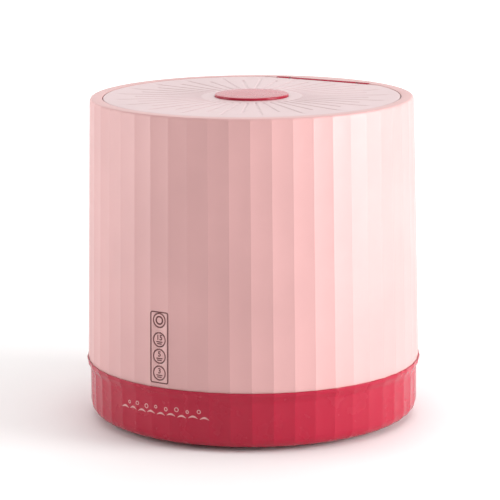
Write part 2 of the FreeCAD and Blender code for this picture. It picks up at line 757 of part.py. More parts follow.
def tub_radius(z):
    low = TUB_FLOOR_Z + TUB_FILLET
    return TUB_LOW_R + (TUB_HIGH_R - TUB_LOW_R) * (z - low) / (TUB_ROLL_Z - low)


def tub_screws():
    return group(around(screw(TUB_SCREW_R, 0, TUB_FLANGE_Z - TUB_WALL, 7.4), tub_screw_angles()))


def drain_strainer():
    plate = cyl(STRAINER_R, STRAINER_SEAT_Z, STRAINER_TOP_Z, DRAIN_X, DRAIN_Y)
    spots = [V(0, 0, 0)] + [polar(STRAINER_RING_R, 60 * i) for i in range(6)]
    holes = [
        cyl(STRAINER_HOLE_R, STRAINER_SEAT_Z - PAST, STRAINER_TOP_Z + PAST, DRAIN_X + p.x, DRAIN_Y + p.y)
        for p in spots
    ]
    return plate.cut(group(holes))


# ---- pulsator and drive ----

def pulsator():
    """A dished plate that rises to the hub, with fins and rows of holes between them."""
    dish = spun(
        (SHAFT_R, DISH_LOW_Z), (DISH_R, DISH_LOW_Z),
        corner_arc(DISH_R, DISH_LOW_Z + DISH_EDGE_R, DISH_EDGE_R, -90, 90),
        ((34, 97.6), (16, 103)), (HUB_R, HUB_TOP_Z), (HUB_WELL_R, HUB_TOP_Z),
        (HUB_WELL_R, SHAFT_TOP_Z), (SHAFT_R, SHAFT_TOP_Z),
    )
    step = 360 / FIN_COUNT
    fins = around(pulsator_fin(), [step * i for i in range(FIN_COUNT)])
    row = [cyl(DISH_HOLE_R, DISH_LOW_Z - PAST, HUB_TOP_Z, r, 0) for r in DISH_HOLE_RINGS]
    holes = around(group(row), [step * (i + 0.5) for i in range(FIN_COUNT)])
    return fuse([dish] + fins).cut(group(holes))


def pulsator_fin():
    face = Part.Face(outline((9, 94), (51, 94), (51, 97.5), ((36, 107), (9, 109))))
    fin = face.extrude(V(0, FIN_THICK, 0))
    fin.translate(V(0, -FIN_THICK / 2, 0))
    return fin


def pulsator_cap():
    """A dome over the screw, with a ring that presses into the hub's well."""
    ring_r = HUB_WELL_R - 0.2
    ring_inner = ring_r - 1.4
    return spun(
        (0, HUB_TOP_Z), (0, CAP_TOP_Z), ((7, 114.4), (CAP_R, HUB_TOP_Z)), (ring_r, HUB_TOP_Z),
        (ring_r, HUB_TOP_Z - 1), (ring_inner, HUB_TOP_Z - 1), (ring_inner, HUB_TOP_Z),
    )


def pulsator_screw():
    head_z = SHAFT_TOP_Z + 2.4
    slots = [block(-2.2, 2.2, -0.4, 0.4, head_z - 1, head_z), block(-0.4, 0.4, -2.2, 2.2, head_z - 1, head_z)]
    head = cyl(4.0, SHAFT_TOP_Z, head_z).cut(group(slots))
    return head.fuse(cyl(1.6, SHAFT_TOP_Z - 12, SHAFT_TOP_Z))


def output_shaft():
    shaft = cyl(SHAFT_R, CASE_LOW - 0.6, SHAFT_TOP_Z)
    return shaft.cut(cyl(1.62, SHAFT_TOP_Z - 13, SHAFT_TOP_Z))


def involute_edges(module, teeth, tooth_angle):
    """The outline of a spur gear with 20 degree pressure angle, as edges in the z = 0 plane."""
    pitch_r = module * teeth / 2
    base_r = pitch_r * math.cos(PRESSURE_ANGLE)
    tip_r = pitch_r + module
    root_r = pitch_r - 1.25 * module
    involute = math.tan(PRESSURE_ANGLE) - PRESSURE_ANGLE
    half = math.pi / (2 * teeth) - BACKLASH / (2 * pitch_r) + involute
    start_r = max(base_r, root_r + 0.05)
    edges = []
    previous = None
    first = None
    for tooth in range(teeth):
        middle = math.radians(tooth_angle) + 2 * math.pi * tooth / teeth
        rising, falling = [], []
        for step in range(5):
            r = start_r + (tip_r - start_r) * step / 4
            roll = math.sqrt(max((r / base_r) ** 2 - 1, 0))
            off = half - (roll - math.atan(roll))
            rising.append(V(r * math.cos(middle - off), r * math.sin(middle - off), 0))
            falling.append(V(r * math.cos(middle + off), r * math.sin(middle + off), 0))
        falling.reverse()
        low = middle - half
        high = middle + half
        root_in = V(root_r * math.cos(low), root_r * math.sin(low), 0)
        root_out = V(root_r * math.cos(high), root_r * math.sin(high), 0)
        if previous is None:
            first = root_in
        else:
            edges.append(Part.makeLine(previous, root_in))
        edges.append(Part.makeLine(root_in, rising[0]))
        edges.append(flank(rising))
        edges.append(Part.makeLine(rising[-1], falling[0]))
        edges.append(flank(falling))
        edges.append(Part.makeLine(falling[-1], root_out))
        previous = root_out
    edges.append(Part.makeLine(previous, first))
    return edges


def flank(points):
    curve = Part.BSplineCurve()
    curve.interpolate(points)
    return curve.toShape()


def gear(module, teeth, low, high, x, y, tooth_angle):
    face = Part.Face(Part.Wire(involute_edges(module, teeth, tooth_angle)))
    body = face.extrude(V(0, 0, high - low))
    body.translate(V(x, y, low))
    return body


def output_gear():
    body = gear(GEAR_COARSE, OUTPUT_TEETH, 62, 70, 0, 0, 90)
    body = body.fuse(cyl(9.0, 69.9, 75.5))
    windows = around(cyl(7.0, 60, 72, 20.5), [60 * i + 30 for i in range(6)])
    return body.cut(cyl(SHAFT_R, 55, 80)).cut(group(windows))


def idler_gear():
    towards_motor = math.degrees(math.atan2(MOTOR_Y - IDLER_Y, MOTOR_X))
    small = gear(GEAR_COARSE, IDLER_SMALL_TEETH, 61.2, 70.6, 0, IDLER_Y, 270 + 180 / IDLER_SMALL_TEETH)
    large = gear(GEAR_FINE, IDLER_LARGE_TEETH, 71.5, 77.5, 0, IDLER_Y, towards_motor)
    collar = cyl(6.5, 70.4, 71.7, 0, IDLER_Y)
    return small.fuse([large, collar]).cut(cyl(AXLE_R + RUNNING_GAP, 55, 90, 0, IDLER_Y))


def motor_pinion():
    towards_idler = math.degrees(math.atan2(IDLER_Y - MOTOR_Y, -MOTOR_X))
    pinion = gear(GEAR_FINE, PINION_TEETH, 71.0, 78.0, MOTOR_X, MOTOR_Y, towards_idler + 180 / PINION_TEETH)
    return pinion.cut(cyl(MOTOR_SHAFT_R, 60, 90, MOTOR_X, MOTOR_Y))


def motor_shaft():
    """The shaft and its three-pole armature."""
    shaft = cyl(MOTOR_SHAFT_R, MOTOR_LOW_Z + 2, 79.0, MOTOR_X, MOTOR_Y)
    armature = cyl(ARMATURE_R, 22, 50, MOTOR_X, MOTOR_Y)
    slots = around(block(6.5, ARMATURE_R + PAST, -1.2, 1.2, 21, 51), [0, 120, 240])
    for slot in slots:
        slot.translate(V(MOTOR_X, MOTOR_Y, 0))
    return shaft.fuse(armature.cut(group(slots)))


def motor_can():
    lid_z = CASE_LOW - MOTOR_WALL
    can = tube(MOTOR_R, MOTOR_R - MOTOR_WALL, MOTOR_CAP_Z, lid_z, MOTOR_X, MOTOR_Y)
    can = can.fuse(cyl(MOTOR_R, lid_z - 2 * SINK, CASE_LOW, MOTOR_X, MOTOR_Y))
    holes = [cyl(1.7, 50, 60, MOTOR_X, MOTOR_Y)]
    holes += [cyl(SMALL_TAP_HOLE_R, 54, 60, x, y) for x, y in motor_screw_spots()]
    return can.cut(group(holes))


def motor_endcap():
    """The rear cap, with a lug where the leads go in."""
    cap = cyl(MOTOR_R, MOTOR_LOW_Z, MOTOR_CAP_Z, MOTOR_X, MOTOR_Y)
    lug_x = MOTOR_X - MOTOR_R
    lug = block(lug_x - 3, lug_x + 3, MOTOR_Y - 3.5, MOTOR_Y + 3.5, MOTOR_LOW_Z, MOTOR_CAP_Z)
    return cap.fuse(lug).cut(cyl(1.68, 11.8, MOTOR_CAP_Z + PAST, MOTOR_X, MOTOR_Y))


def motor_magnets():
    ring = tube(MAGNET_R, MAGNET_INNER_R, 24, 48, MOTOR_X, MOTOR_Y)
    gap = block(MOTOR_X - MOTOR_R, MOTOR_X + MOTOR_R, MOTOR_Y - 4, MOTOR_Y + 4, 20, 50)
    return ring.cut(gap)


def motor_screw_spots():
    reach = math.hypot(MOTOR_X, MOTOR_Y)
    across = V(MOTOR_Y / reach, -MOTOR_X / reach, 0) * MOTOR_SCREW_R
    return [(MOTOR_X + across.x, MOTOR_Y + across.y), (MOTOR_X - across.x, MOTOR_Y - across.y)]


def motor_screws():
    screws = []
    for x, y in motor_screw_spots():
        screws.append(cyl(2.3, 60.5, 61.6, x, y).fuse(cyl(1.2, 55.5, 60.5, x, y)))
    return group(screws)


def case(inset, low, high):
    """The gearbox's outline: three overlapping rounds about the shaft, the idler and the pinion."""
    return fuse([
        cyl(CASE_SHAFT_R - inset, low, high),
        cyl(CASE_IDLER_R - inset, low, high, 0, IDLER_Y),
        cyl(CASE_PINION_R - inset, low, high, MOTOR_X, MOTOR_Y),
    ])


def case_ears(low, high):
    inside = case(CASE_WALL, CASE_LOW + CASE_FLOOR, CASE_HIGH - CASE_FLOOR)
    return [ear.cut(inside) for ear in around(cyl(EAR_R, low, high, EAR_RING_R), EAR_ANGLES)]


def gearbox_lower():
    cup = case(0, CASE_LOW, CASE_SPLIT).cut(case(CASE_WALL, CASE_LOW + CASE_FLOOR, CASE_SPLIT + PAST))
    ears = case_ears(EAR_LOW_Z, CASE_SPLIT)
    seat = cyl(11.0, 55.5, CASE_LOW + CASE_FLOOR - SINK)
    cup = fuse([cup, seat] + ears)
    holes = [cyl(LOWER_BEARING_R, 50, 62), cyl(5.2, 50, 62, MOTOR_X, MOTOR_Y)]
    holes.append(cyl(AXLE_R, AXLE_LOW_Z, 62, 0, IDLER_Y))
    holes += [cyl(SMALL_TAP_HOLE_R, 50, 62, x, y) for x, y in motor_screw_spots()]
    holes += around(cyl(CASE_BOLT_HOLE_R, 60, 72, EAR_RING_R), EAR_ANGLES)
    return cup.cut(group(holes))


def gearbox_upper():
    ceiling = CASE_HIGH - CASE_FLOOR
    cup = case(0, CASE_SPLIT, CASE_HIGH).cut(case(CASE_WALL, CASE_SPLIT - PAST, ceiling))
    ears = case_ears(CASE_SPLIT, CASE_HIGH)
    seat = cyl(13.5, UPPER_BEARING_Z, ceiling + SINK)
    cup = fuse([cup, seat] + ears)
    holes = [cyl(UPPER_BEARING_R, 75, 85), cyl(AXLE_R, CASE_SPLIT, AXLE_HIGH_Z, 0, IDLER_Y)]
    holes += around(cyl(CASE_BOLT_HOLE_R, 60, 84, EAR_RING_R), EAR_ANGLES)
    return cup.cut(group(holes))


def gearbox_screws():
    return group(around(screw(EAR_RING_R, 0, EAR_LOW_Z, 20.5, CASE_BOLT_R, 3.0, 2.0), EAR_ANGLES))


def idler_axle():
    return cyl(AXLE_R, AXLE_LOW_Z, AXLE_HIGH_Z, 0, IDLER_Y)


def upper_bearing():
    return tube(UPPER_BEARING_R, SHAFT_R + BEARING_GAP, UPPER_BEARING_Z, CASE_HIGH)


def lower_bearing():
    return tube(LOWER_BEARING_R, SHAFT_R + BEARING_GAP, CASE_LOW - 1.0, LOWER_BEARING_Z)


def shaft_seal():
    """A lip seal that fills the tub's bore around the shaft."""
    inner = SHAFT_R + BEARING_GAP
    return spun(
        (inner, 84), (TUB_BORE_R, 84), (TUB_BORE_R, TUB_FLOOR_Z), (7.4, TUB_FLOOR_Z),
        (inner, TUB_FLOOR_Z + 0.8),
    )


# ---- drain ----

def drain_hose():
    turn_z = PORT_Z + HOSE_BEND
    turn_y = DRAIN_Y + HOSE_BEND

    def run(radius):
        down = cyl(radius, turn_z, HOSE_TOP_Z, DRAIN_X, DRAIN_Y)
        disc = Part.Face(Part.Wire(Part.makeCircle(radius, V(DRAIN_X, DRAIN_Y, turn_z), V(0, 0, 1))))
        bend = disc.revolve(V(DRAIN_X, turn_y, turn_z), V(1, 0, 0), 90)
        back = rod_y(radius, turn_y, HOSE_END_Y, DRAIN_X, PORT_Z)
        return down.fuse([bend, back]).removeSplitter()

    return run(HOSE_OUTER_R).cut(run(HOSE_BORE_R))


def drain_spigot():
    """A barb for the inner hose, a collar inside the niche's wall, a neck through it and the pipe outside."""
    inner_y = NICHE_Y - NICHE_WALL
    barb = rod_y(BARB_R, BARB_END_Y, SPIGOT_COLLAR_Y + SINK, DRAIN_X, PORT_Z)
    collar = rod_y(SPIGOT_COLLAR_R, SPIGOT_COLLAR_Y, inner_y, DRAIN_X, PORT_Z)
    neck = rod_y(SPIGOT_NECK_R, inner_y - SINK, NICHE_Y, DRAIN_X, PORT_Z)
    pipe = rod_y(SPIGOT_R, NICHE_Y - SINK, SPIGOT_END_Y, DRAIN_X, PORT_Z)
    bore = rod_y(SPIGOT_BORE_R, BARB_END_Y, SPIGOT_END_Y, DRAIN_X, PORT_Z)
    return fuse([barb, collar, neck, pipe]).cut(bore)


def drain_plug():
    """A soft stopper: a stem in the bore, a head over the pipe's end and a flat grip."""
    head_y = SPIGOT_END_Y + 0.1
    grip_y = head_y + PLUG_HEAD
    stem = rod_y(SPIGOT_BORE_R - 0.3, NICHE_Y, head_y, DRAIN_X, PORT_Z)
    head = rod_y(PLUG_HEAD_R, head_y, grip_y, DRAIN_X, PORT_Z)
    grip = block(
        DRAIN_X - PLUG_GRIP_HALF_THICK, DRAIN_X + PLUG_GRIP_HALF_THICK, grip_y - SINK, grip_y + PLUG_GRIP,
        PORT_Z - PLUG_GRIP_HALF, PORT_Z + PLUG_GRIP_HALF,
    )
    return stem.fuse([head, grip])


# ---- power ----

def power_board():
    """The board, with a coil, two capacitors and the sockets for the two cables."""
    x0 = -PORT_X - POWER_BOARD_HALF
    x1 = -PORT_X + POWER_BOARD_HALF
    board = block(x0, x1, *POWER_BOARD_Y, POWER_BOARD_LOW_Z, POWER_BOARD_TOP_Z)
    holes = [cyl(1.3, POWER_BOARD_LOW_Z, POWER_BOARD_TOP_Z, x, y) for x, y in board_posts()]
    board = board.cut(group(holes))
    seat = POWER_BOARD_TOP_Z - SINK
    coil = block(-PORT_X - 8, -PORT_X + 6, 70, 84, seat, 30.0)
    caps = [cyl(4.0, seat, 32.0, -PORT_X + 11, 78), cyl(3.0, seat, 27.0, -PORT_X - 13, 78)]
    headers = [block(x, x + 7, POWER_BOARD_Y[0], 66.5, seat, 24.0) for x in (-56.0, -38.0)]
    return board.fuse([coil] + caps + headers)


def power_board_screws():
    screws = []
    for x, y in board_posts():
        head = cyl(2.3, POWER_BOARD_TOP_Z, POWER_BOARD_TOP_Z + 1.6, x, y)
        screws.append(head.fuse(cyl(1.15, 10.0, POWER_BOARD_TOP_Z, x, y)))
    return group(screws)


def dc_inlet():
    """A socket held behind the niche's wall, with its sleeve through the wall and its tags over the board."""
    front_y = NICHE_Y - NICHE_WALL - SINK
    low = PORT_Z - 6.2
    body = block(-PORT_X - INLET_HALF, -PORT_X + INLET_HALF, INLET_BACK_Y, front_y, low, PORT_Z + 5.5)
    body = body.fuse(rod_y(INLET_R, front_y - SINK, NICHE_Y + 1.5, -PORT_X, PORT_Z))
    tags = block(-PORT_X - 3, -PORT_X + 3, INLET_BACK_Y - 4, INLET_BACK_Y + SINK, low, low + 0.8)
    body = body.fuse(tags).cut(rod_y(INLET_BORE_R, 104.0, NICHE_Y + 1.5, -PORT_X, PORT_Z))
    return body.fuse(rod_y(INLET_PIN_R, 103.5, NICHE_Y + PAST, -PORT_X, PORT_Z))


# Routes of the two cables held inside, from board to motor and from board to control board
MOTOR_ROUTE = [
    (-34.5, 62, 21), (-34.5, 55.5, 21), (-46, 50, 16.5), (-57, 43, 12.5),
    (-57, MOTOR_Y, 12), (-46, MOTOR_Y, 12),
]
PANEL_ROUTE = [
    (-52.5, 62, 21), (-52.5, 52, 21), (-57, 36, 29), (-61, 12, 36), (-62, -16, 34), (-56, -50, 28),
    (-42, -82, 22), (-22, -102, 18), (-8, -110, 21), (-3, -114.4, 34), (-3, -114.4, 51.7),
]


def cable(route, diameter):
    """A round cable: straight runs joined by the largest tangent arcs that the runs allow."""
    points = [V(*p) for p in route]
    edges = []
    here = points[0]
    for before, corner, after in zip(points, points[1:], points[2:]):
        into = corner - before
        out = after - corner
        turn = into.getAngle(out)
        reach = 0.45 * min(into.Length, out.Length)
        into.normalize()
        out.normalize()
        start = corner - into * reach
        end = corner + out * reach
        inward = out - into
        inward.normalize()
        bend = reach / math.tan(turn / 2)
        sagitta = bend / math.cos(turn / 2) - bend
        edges.append(Part.makeLine(here, start))
        edges.append(Part.Arc(start, corner + inward * sagitta, end).toShape())
        here = end
    edges.append(Part.makeLine(here, points[-1]))
    path = Part.Wire(edges)
    ring = Part.Wire(Part.makeCircle(diameter / 2, points[0], points[1] - points[0]))
    body = path.makePipeShell([ring], True, True)
    share = body.Volume / (math.pi * (diameter / 2) ** 2 * path.Length)
    print(f"cable of {path.Length:.1f} mm, volume over section times length {share:.4f}")
    return body


# ---- everything ----

def all_nodes():
    nodes = {
        "base_pan": base_pan(),
        "rubber_feet": rubber_feet(),
        "base_screws": base_screws(),
        "outer_barrel": outer_barrel(),
        "top_ring": top_ring(),
        "control_panel": control_panel(),
        "panel_trim": panel_trim(),
        "key_switches": key_switches(),
        "control_board": control_board(),
        "board_screws": board_screws(),
        "lid_cover": lid_cover(),
        "lid_disc": lid_disc(),
        "lid_liner": lid_liner(),
        "lid_gasket": lid_gasket(),
        "lid_screws": lid_screws(),
        "lid_hinge_barrel": lid_hinge_barrel(),
        "hinge_bracket": hinge_bracket(),
        "hinge_screws": hinge_screws(),
        "hinge_pin": hinge_pin(),
        "wash_tub": wash_tub(),
        "tub_screws": tub_screws(),
        "drain_strainer": drain_strainer(),
        "pulsator": pulsator(),
        "pulsator_cap": pulsator_cap(),
        "pulsator_screw": pulsator_screw(),
        "output_shaft": output_shaft(),
        "output_gear": output_gear(),
        "idler_gear": idler_gear(),
        "idler_axle": idler_axle(),
        "motor_pinion": motor_pinion(),
        "motor_shaft": motor_shaft(),
        "motor_can": motor_can(),
        "motor_endcap": motor_endcap(),
        "motor_magnets": motor_magnets(),
        "motor_screws": motor_screws(),
        "gearbox_lower": gearbox_lower(),
        "gearbox_upper": gearbox_upper(),
        "gearbox_screws": gearbox_screws(),
        "upper_bearing": upper_bearing(),
        "lower_bearing": lower_bearing(),
        "shaft_seal": shaft_seal(),
        "drain_hose": drain_hose(),
        "drain_spigot": drain_spigot(),
        "drain_plug": drain_plug(),
        "power_board": power_board(),
        "power_board_screws": power_board_screws(),
        "dc_inlet": dc_inlet(),
        "motor_leads": cable(MOTOR_ROUTE, 2.4),
        "panel_leads": cable(PANEL_ROUTE, 3.2),
    }
    for name, v in KEY_V.items():
        nodes[name] = panel_key(v)
    return nodes


os.makedirs("parts", exist_ok=True)
for node, shape in all_nodes().items():
    solids = len(shape.Solids)
    valid = shape.isValid()
    size = shape.BoundBox
    print(f"{node:22s} {solids} solids valid={valid} z {size.ZMin:.1f}..{size.ZMax:.1f}")
    shape.exportStep(f"parts/{node}.step")
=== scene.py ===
import json
import math

import bmesh
import bpy
from mathutils import Matrix, Vector


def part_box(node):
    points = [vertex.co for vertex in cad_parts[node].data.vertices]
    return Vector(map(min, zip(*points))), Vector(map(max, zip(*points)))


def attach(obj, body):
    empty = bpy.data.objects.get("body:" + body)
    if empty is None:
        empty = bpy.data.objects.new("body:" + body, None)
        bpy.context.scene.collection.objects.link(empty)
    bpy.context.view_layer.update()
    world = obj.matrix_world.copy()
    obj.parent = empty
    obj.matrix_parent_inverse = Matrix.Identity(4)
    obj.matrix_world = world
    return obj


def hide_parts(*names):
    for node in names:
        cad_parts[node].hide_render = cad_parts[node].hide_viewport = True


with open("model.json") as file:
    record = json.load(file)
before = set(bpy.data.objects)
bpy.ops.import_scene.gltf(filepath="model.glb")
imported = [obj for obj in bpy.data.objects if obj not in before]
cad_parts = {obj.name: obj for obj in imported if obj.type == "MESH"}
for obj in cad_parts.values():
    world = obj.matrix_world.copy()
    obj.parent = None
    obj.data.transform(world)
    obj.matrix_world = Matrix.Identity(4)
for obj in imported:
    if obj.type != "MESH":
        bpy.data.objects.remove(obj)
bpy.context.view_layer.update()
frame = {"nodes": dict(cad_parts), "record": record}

# Sizes are millimetres, z from the floor. The panel faces -Y, the hinge and the drain are on +Y.
MM = 0.001
nodes = frame["nodes"]


def box(node):
    low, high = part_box(node)
    return low / MM, high / MM


def top_of(node):
    return box(node)[1].z


def bottom_of(node):
    return box(node)[0].z


# ---- driving sizes, most of them read from the frame ----

# Drum, base and rim
FLUTES = 50
FLUTE_DEPTH = 0.5
FRONT = -90.0
FOOT_H = bottom_of("base_pan")
LIP_Z = top_of("base_pan")
SEAM_Z = top_of("outer_barrel")
RIM_Z = top_of("top_ring")
LID_Z = top_of("lid_cover")
DISC_Z = top_of("lid_disc")
LIP_R = box("base_pan")[1].x
LEDGE_Z = LIP_Z - 4.0
DRUM_FOOT_R = LIP_R - 1.4
DRUM_TAPER = 0.02156
WALL = 2.4
BASE_R = LIP_R - 2.9
BASE_INNER_R = BASE_R - 3.5
POST_RING_R = 120.5
RING_OUTER_R = box("top_ring")[1].x
OPENING_R = RING_OUTER_R - 10.2
DECK_Y = 106.8
SCREW_RING_R = 123.9
SIX_ROUND = [60 * i for i in range(6)]
DIAGONALS = [45, 135, 225, 315]

# Lid and its sunburst
LID_R = box("lid_cover")[1].x
LID_CHORD_Y = box("lid_cover")[1].y
DISC_R = box("lid_disc")[1].x
LINER_LOW = bottom_of("lid_liner")
LINER_HIGH = bottom_of("lid_cover")
RAYS = 42
RAY_TURN = 2.9
RAY_START = 41.5
RAY_LONG = 105.0
RAY_SHORT = 93.5
GROOVE_R = 1.6
GROOVE_DEPTH = 0.62
GROOVE_HALF = 1.35
CORE_R = 104.9

# Hinge
HINGE_R = 2.6
HINGE_Y = box("lid_hinge_barrel")[1].y - HINGE_R
HINGE_Z = top_of("lid_hinge_barrel") - HINGE_R
HINGE_HALF = box("lid_hinge_barrel")[1].x
HINGE_GAP = 3.5
BRACKET_IN = HINGE_HALF + HINGE_GAP
BRACKET_OUT = box("hinge_bracket")[1].x
POCKET_FLOOR_Z = bottom_of("hinge_bracket")

# Control panel
PANEL_LEAN = math.atan(DRUM_TAPER)
PANEL_Z = (top_of("control_panel") + bottom_of("control_panel")) / 2
PANEL_W = 16.6
PANEL_CORNER = 2.0
PANEL_BORDER = 0.95
PANEL_H = 57.0
KEYS = {
    "power_button": "",
    "program_button_long": "15",
    "program_button_medium": "5",
    "program_button_short": "3",
}
KEY_R = 5.8
KEY_HOLE_R = 6.1
PRINT_BACK = -0.1

# Tub and pulsator
TUB_FLOOR_Z = 90.0
TUB_RIBS = 6
TUB_RIB_HALF = 2.6
TUB_RIB_RISE = 2.0
DRAIN_Y = 62
FINS = 6
FIN_HALF = 6.5
FIN_END_R = 52
HUB_R = 13
HUB_TOP_Z = 110

# Rear niche, ports and feet
PORT_Z = 25.0
DRAIN_X = 40.0
NICHE_HALF = 54.0
NICHE_Y = 112.0
NICHE_WALL = 2.5
FOOT_RING_R = 98

# Shading: faces meeting at more than this many degrees keep a sharp edge
SHARP_ANGLE = 32
CAD_SHARP_ANGLE = 30


# ---- building blocks ----

def polar(radius, angle, z):
    turn = math.radians(angle)
    return (radius * math.cos(turn), radius * math.sin(turn), z)


def drum_radius(z):
    return DRUM_FOOT_R - DRUM_TAPER * (z - LIP_Z)


def linked(name, data):
    """A new object around its data, in the scene."""
    obj = bpy.data.objects.new(name, data)
    bpy.context.scene.collection.objects.link(obj)
    return obj


def new_object(name, points, faces):
    mesh = bpy.data.meshes.new(name)
    mesh.from_pydata([(x * MM, y * MM, z * MM) for x, y, z in points], [], faces)
    obj = linked(name, mesh)
    clean(obj)
    return obj


def clean(obj):
    """Merges doubled points, turns the faces outwards and shades smooth between sharp edges."""
    work = bmesh.new()
    work.from_mesh(obj.data)
    bmesh.ops.remove_doubles(work, verts=work.verts, dist=0.002 * MM)
    bmesh.ops.dissolve_degenerate(work, edges=work.edges, dist=0.002 * MM)
    bmesh.ops.recalc_face_normals(work, faces=work.faces)
    work.to_mesh(obj.data)
    work.free()
    obj.data.polygons.foreach_set("use_smooth", [True] * len(obj.data.polygons))
    obj.data.set_sharp_from_angle(angle=math.radians(SHARP_ANGLE))
    obj.data.update()


def skin(name, rings, closed=False):
    """Joins rings of points with faces.

    A ring of one point is a pole; closed joins the last ring to the first.
    """
    points = []
    starts = []
    for ring in rings:
        starts.append((len(points), len(ring)))
        points += ring
    following = starts[1:] + starts[:1] if closed else starts[1:]
    faces = []
    for (a, count_a), (b, count_b) in zip(starts, following):
        for i in range(max(count_a, count_b)):
            j = i + 1
            corners = [a + i % count_a, a + j % count_a, b + j % count_b, b + i % count_b]
            faces.append(tuple(dict.fromkeys(corners)))
    return new_object(name, points, faces)


def soften(corners, closed=True, steps=5):
    """Turns (r, z, fillet) corners into an outline of points with rounded corners."""
    points = []
    for i, (r, z, fillet) in enumerate(corners):
        here = Vector((r, z))
        if fillet == 0 or (not closed and i in (0, len(corners) - 1)):
            points.append((r, z))
            continue
        back = (Vector(corners[i - 1][:2]) - here).normalized()
        ahead = (Vector(corners[(i + 1) % len(corners)][:2]) - here).normalized()
        half = back.angle(ahead) / 2
        centre = here + (back + ahead).normalized() * fillet / math.sin(half)
        first = here + back * fillet / math.tan(half) - centre
        last = here + ahead * fillet / math.tan(half) - centre
        sweep = first.angle(last)
        for step in range(steps + 1):
            t = step / steps
            spot = centre + (first * math.sin((1 - t) * sweep) + last * math.sin(t * sweep)) / math.sin(sweep)
            points.append((spot.x, spot.y))
    return points


def spin(name, corners, count=96, steps=5):
    """A turned piece about Z from (r, z, fillet) corners.

    With r 0 at both ends it has poles, else it is a ring.
    """
    poles = corners[0][0] == 0 and corners[-1][0] == 0
    outline = soften(corners, not poles, steps)
    angles = [360 * i / count for i in range(count)]
    rings = [[(0, 0, z)] if r == 0 else [polar(r, a, z) for a in angles] for r, z in outline]
    return skin(name, rings, closed=not poles)


def move(obj, x=0.0, y=0.0, z=0.0):
    obj.data.transform(Matrix.Translation((x * MM, y * MM, z * MM)))
    return obj


def turn(obj, angle, axis):
    obj.data.transform(Matrix.Rotation(math.radians(angle), 4, axis))
    return obj


def point_back(obj, x, z):
    """Lays a piece turned about Z along +Y, through (x, z)."""
    return move(turn(obj, -90, "X"), x, 0, z)


def slab(name, low, high, bevel=0.0):
    """A block between two corners, its edges rounded by bevel."""
    work = bmesh.new()
    bmesh.ops.create_cube(work, size=1.0)
    centre = (Vector(low) + Vector(high)) / 2 * MM
    size = (Vector(high) - Vector(low)) * MM
    for vert in work.verts:
        vert.co = Vector((vert.co.x * size.x, vert.co.y * size.y, vert.co.z * size.z)) + centre
    if bevel:
        bmesh.ops.bevel(work, geom=work.edges, offset=bevel * MM, segments=3, affect="EDGES", profile=0.5)
    mesh = bpy.data.meshes.new(name)
    work.to_mesh(mesh)
    work.free()
    obj = linked(name, mesh)
    clean(obj)
    return obj


def prism(name, outline, low, high):
    """An upright prism from a closed outline of (x, y) points."""
    return skin_capped(name, [[(x, y, z) for x, y in outline] for z in (low, high)])


def skin_capped(name, rings):
    """Joins rings of equal length with faces and closes both ends with a flat face."""
    points = [p for ring in rings for p in ring]
    count = len(rings[0])
    faces = [tuple(range(count)), tuple(range(len(points) - count, len(points)))]
    for level in range(len(rings) - 1):
        a = level * count
        for i in range(count):
            j = (i + 1) % count
            faces.append((a + i, a + j, a + count + j, a + count + i))
    return new_object(name, points, faces)


def rounded_rectangle(width, height, corner, steps=6):
    """The outline of a rounded rectangle about the origin, counter-clockwise."""
    points = []
    for quarter, (sx, sy) in enumerate(((1, 1), (-1, 1), (-1, -1), (1, -1))):
        for step in range(steps + 1):
            angle = math.radians(90 * (quarter + step / steps))
            x = sx * (width / 2 - corner) + corner * math.cos(angle)
            y = sy * (height / 2 - corner) + corner * math.sin(angle)
            points.append((x, y))
    return points


def merged(name, pieces):
    """Puts several meshes into one object."""
    work = bmesh.new()
    for piece in pieces:
        work.from_mesh(piece.data)
        bpy.data.objects.remove(piece)
    mesh = bpy.data.meshes.new(name)
    work.to_mesh(mesh)
    work.free()
    return linked(name, mesh)


def settle(obj):
    """Replaces the mesh with what its modifiers make of it."""
    graph = bpy.context.evaluated_depsgraph_get()
    mesh = bpy.data.meshes.new_from_object(obj.evaluated_get(graph))
    obj.modifiers.clear()
    obj.data = mesh
    clean(obj)
    return obj


def combine(obj, other, operation="DIFFERENCE"):
    """Cuts the other piece from the first or joins it on, and removes the other."""
    cut = obj.modifiers.new("cut", "BOOLEAN")
    cut.object = other
    cut.operation = operation
    cut.solver = "EXACT"
    settle(obj)
    bpy.data.objects.remove(other)
    return obj


def ease_edges(obj, width, angle):
    bevel = obj.modifiers.new("ease", "BEVEL")
    bevel.width = width * MM
    bevel.segments = 2
    bevel.limit_method = "ANGLE"
    bevel.angle_limit = math.radians(angle)
    return settle(obj)


def rods(name, radius, low, high, spots, count=24):
    """Upright round bars at (x, y) spots, as one mesh."""
    return merged(name, [
        move(spin("rod", [(0, low, 0), (radius, low, 0), (radius, high, 0), (0, high, 0)], count), x, y)
        for x, y in spots
    ])


def ring_spots(radius, angles):
    return [polar(radius, angle, 0)[:2] for angle in angles]


# ---- materials ----

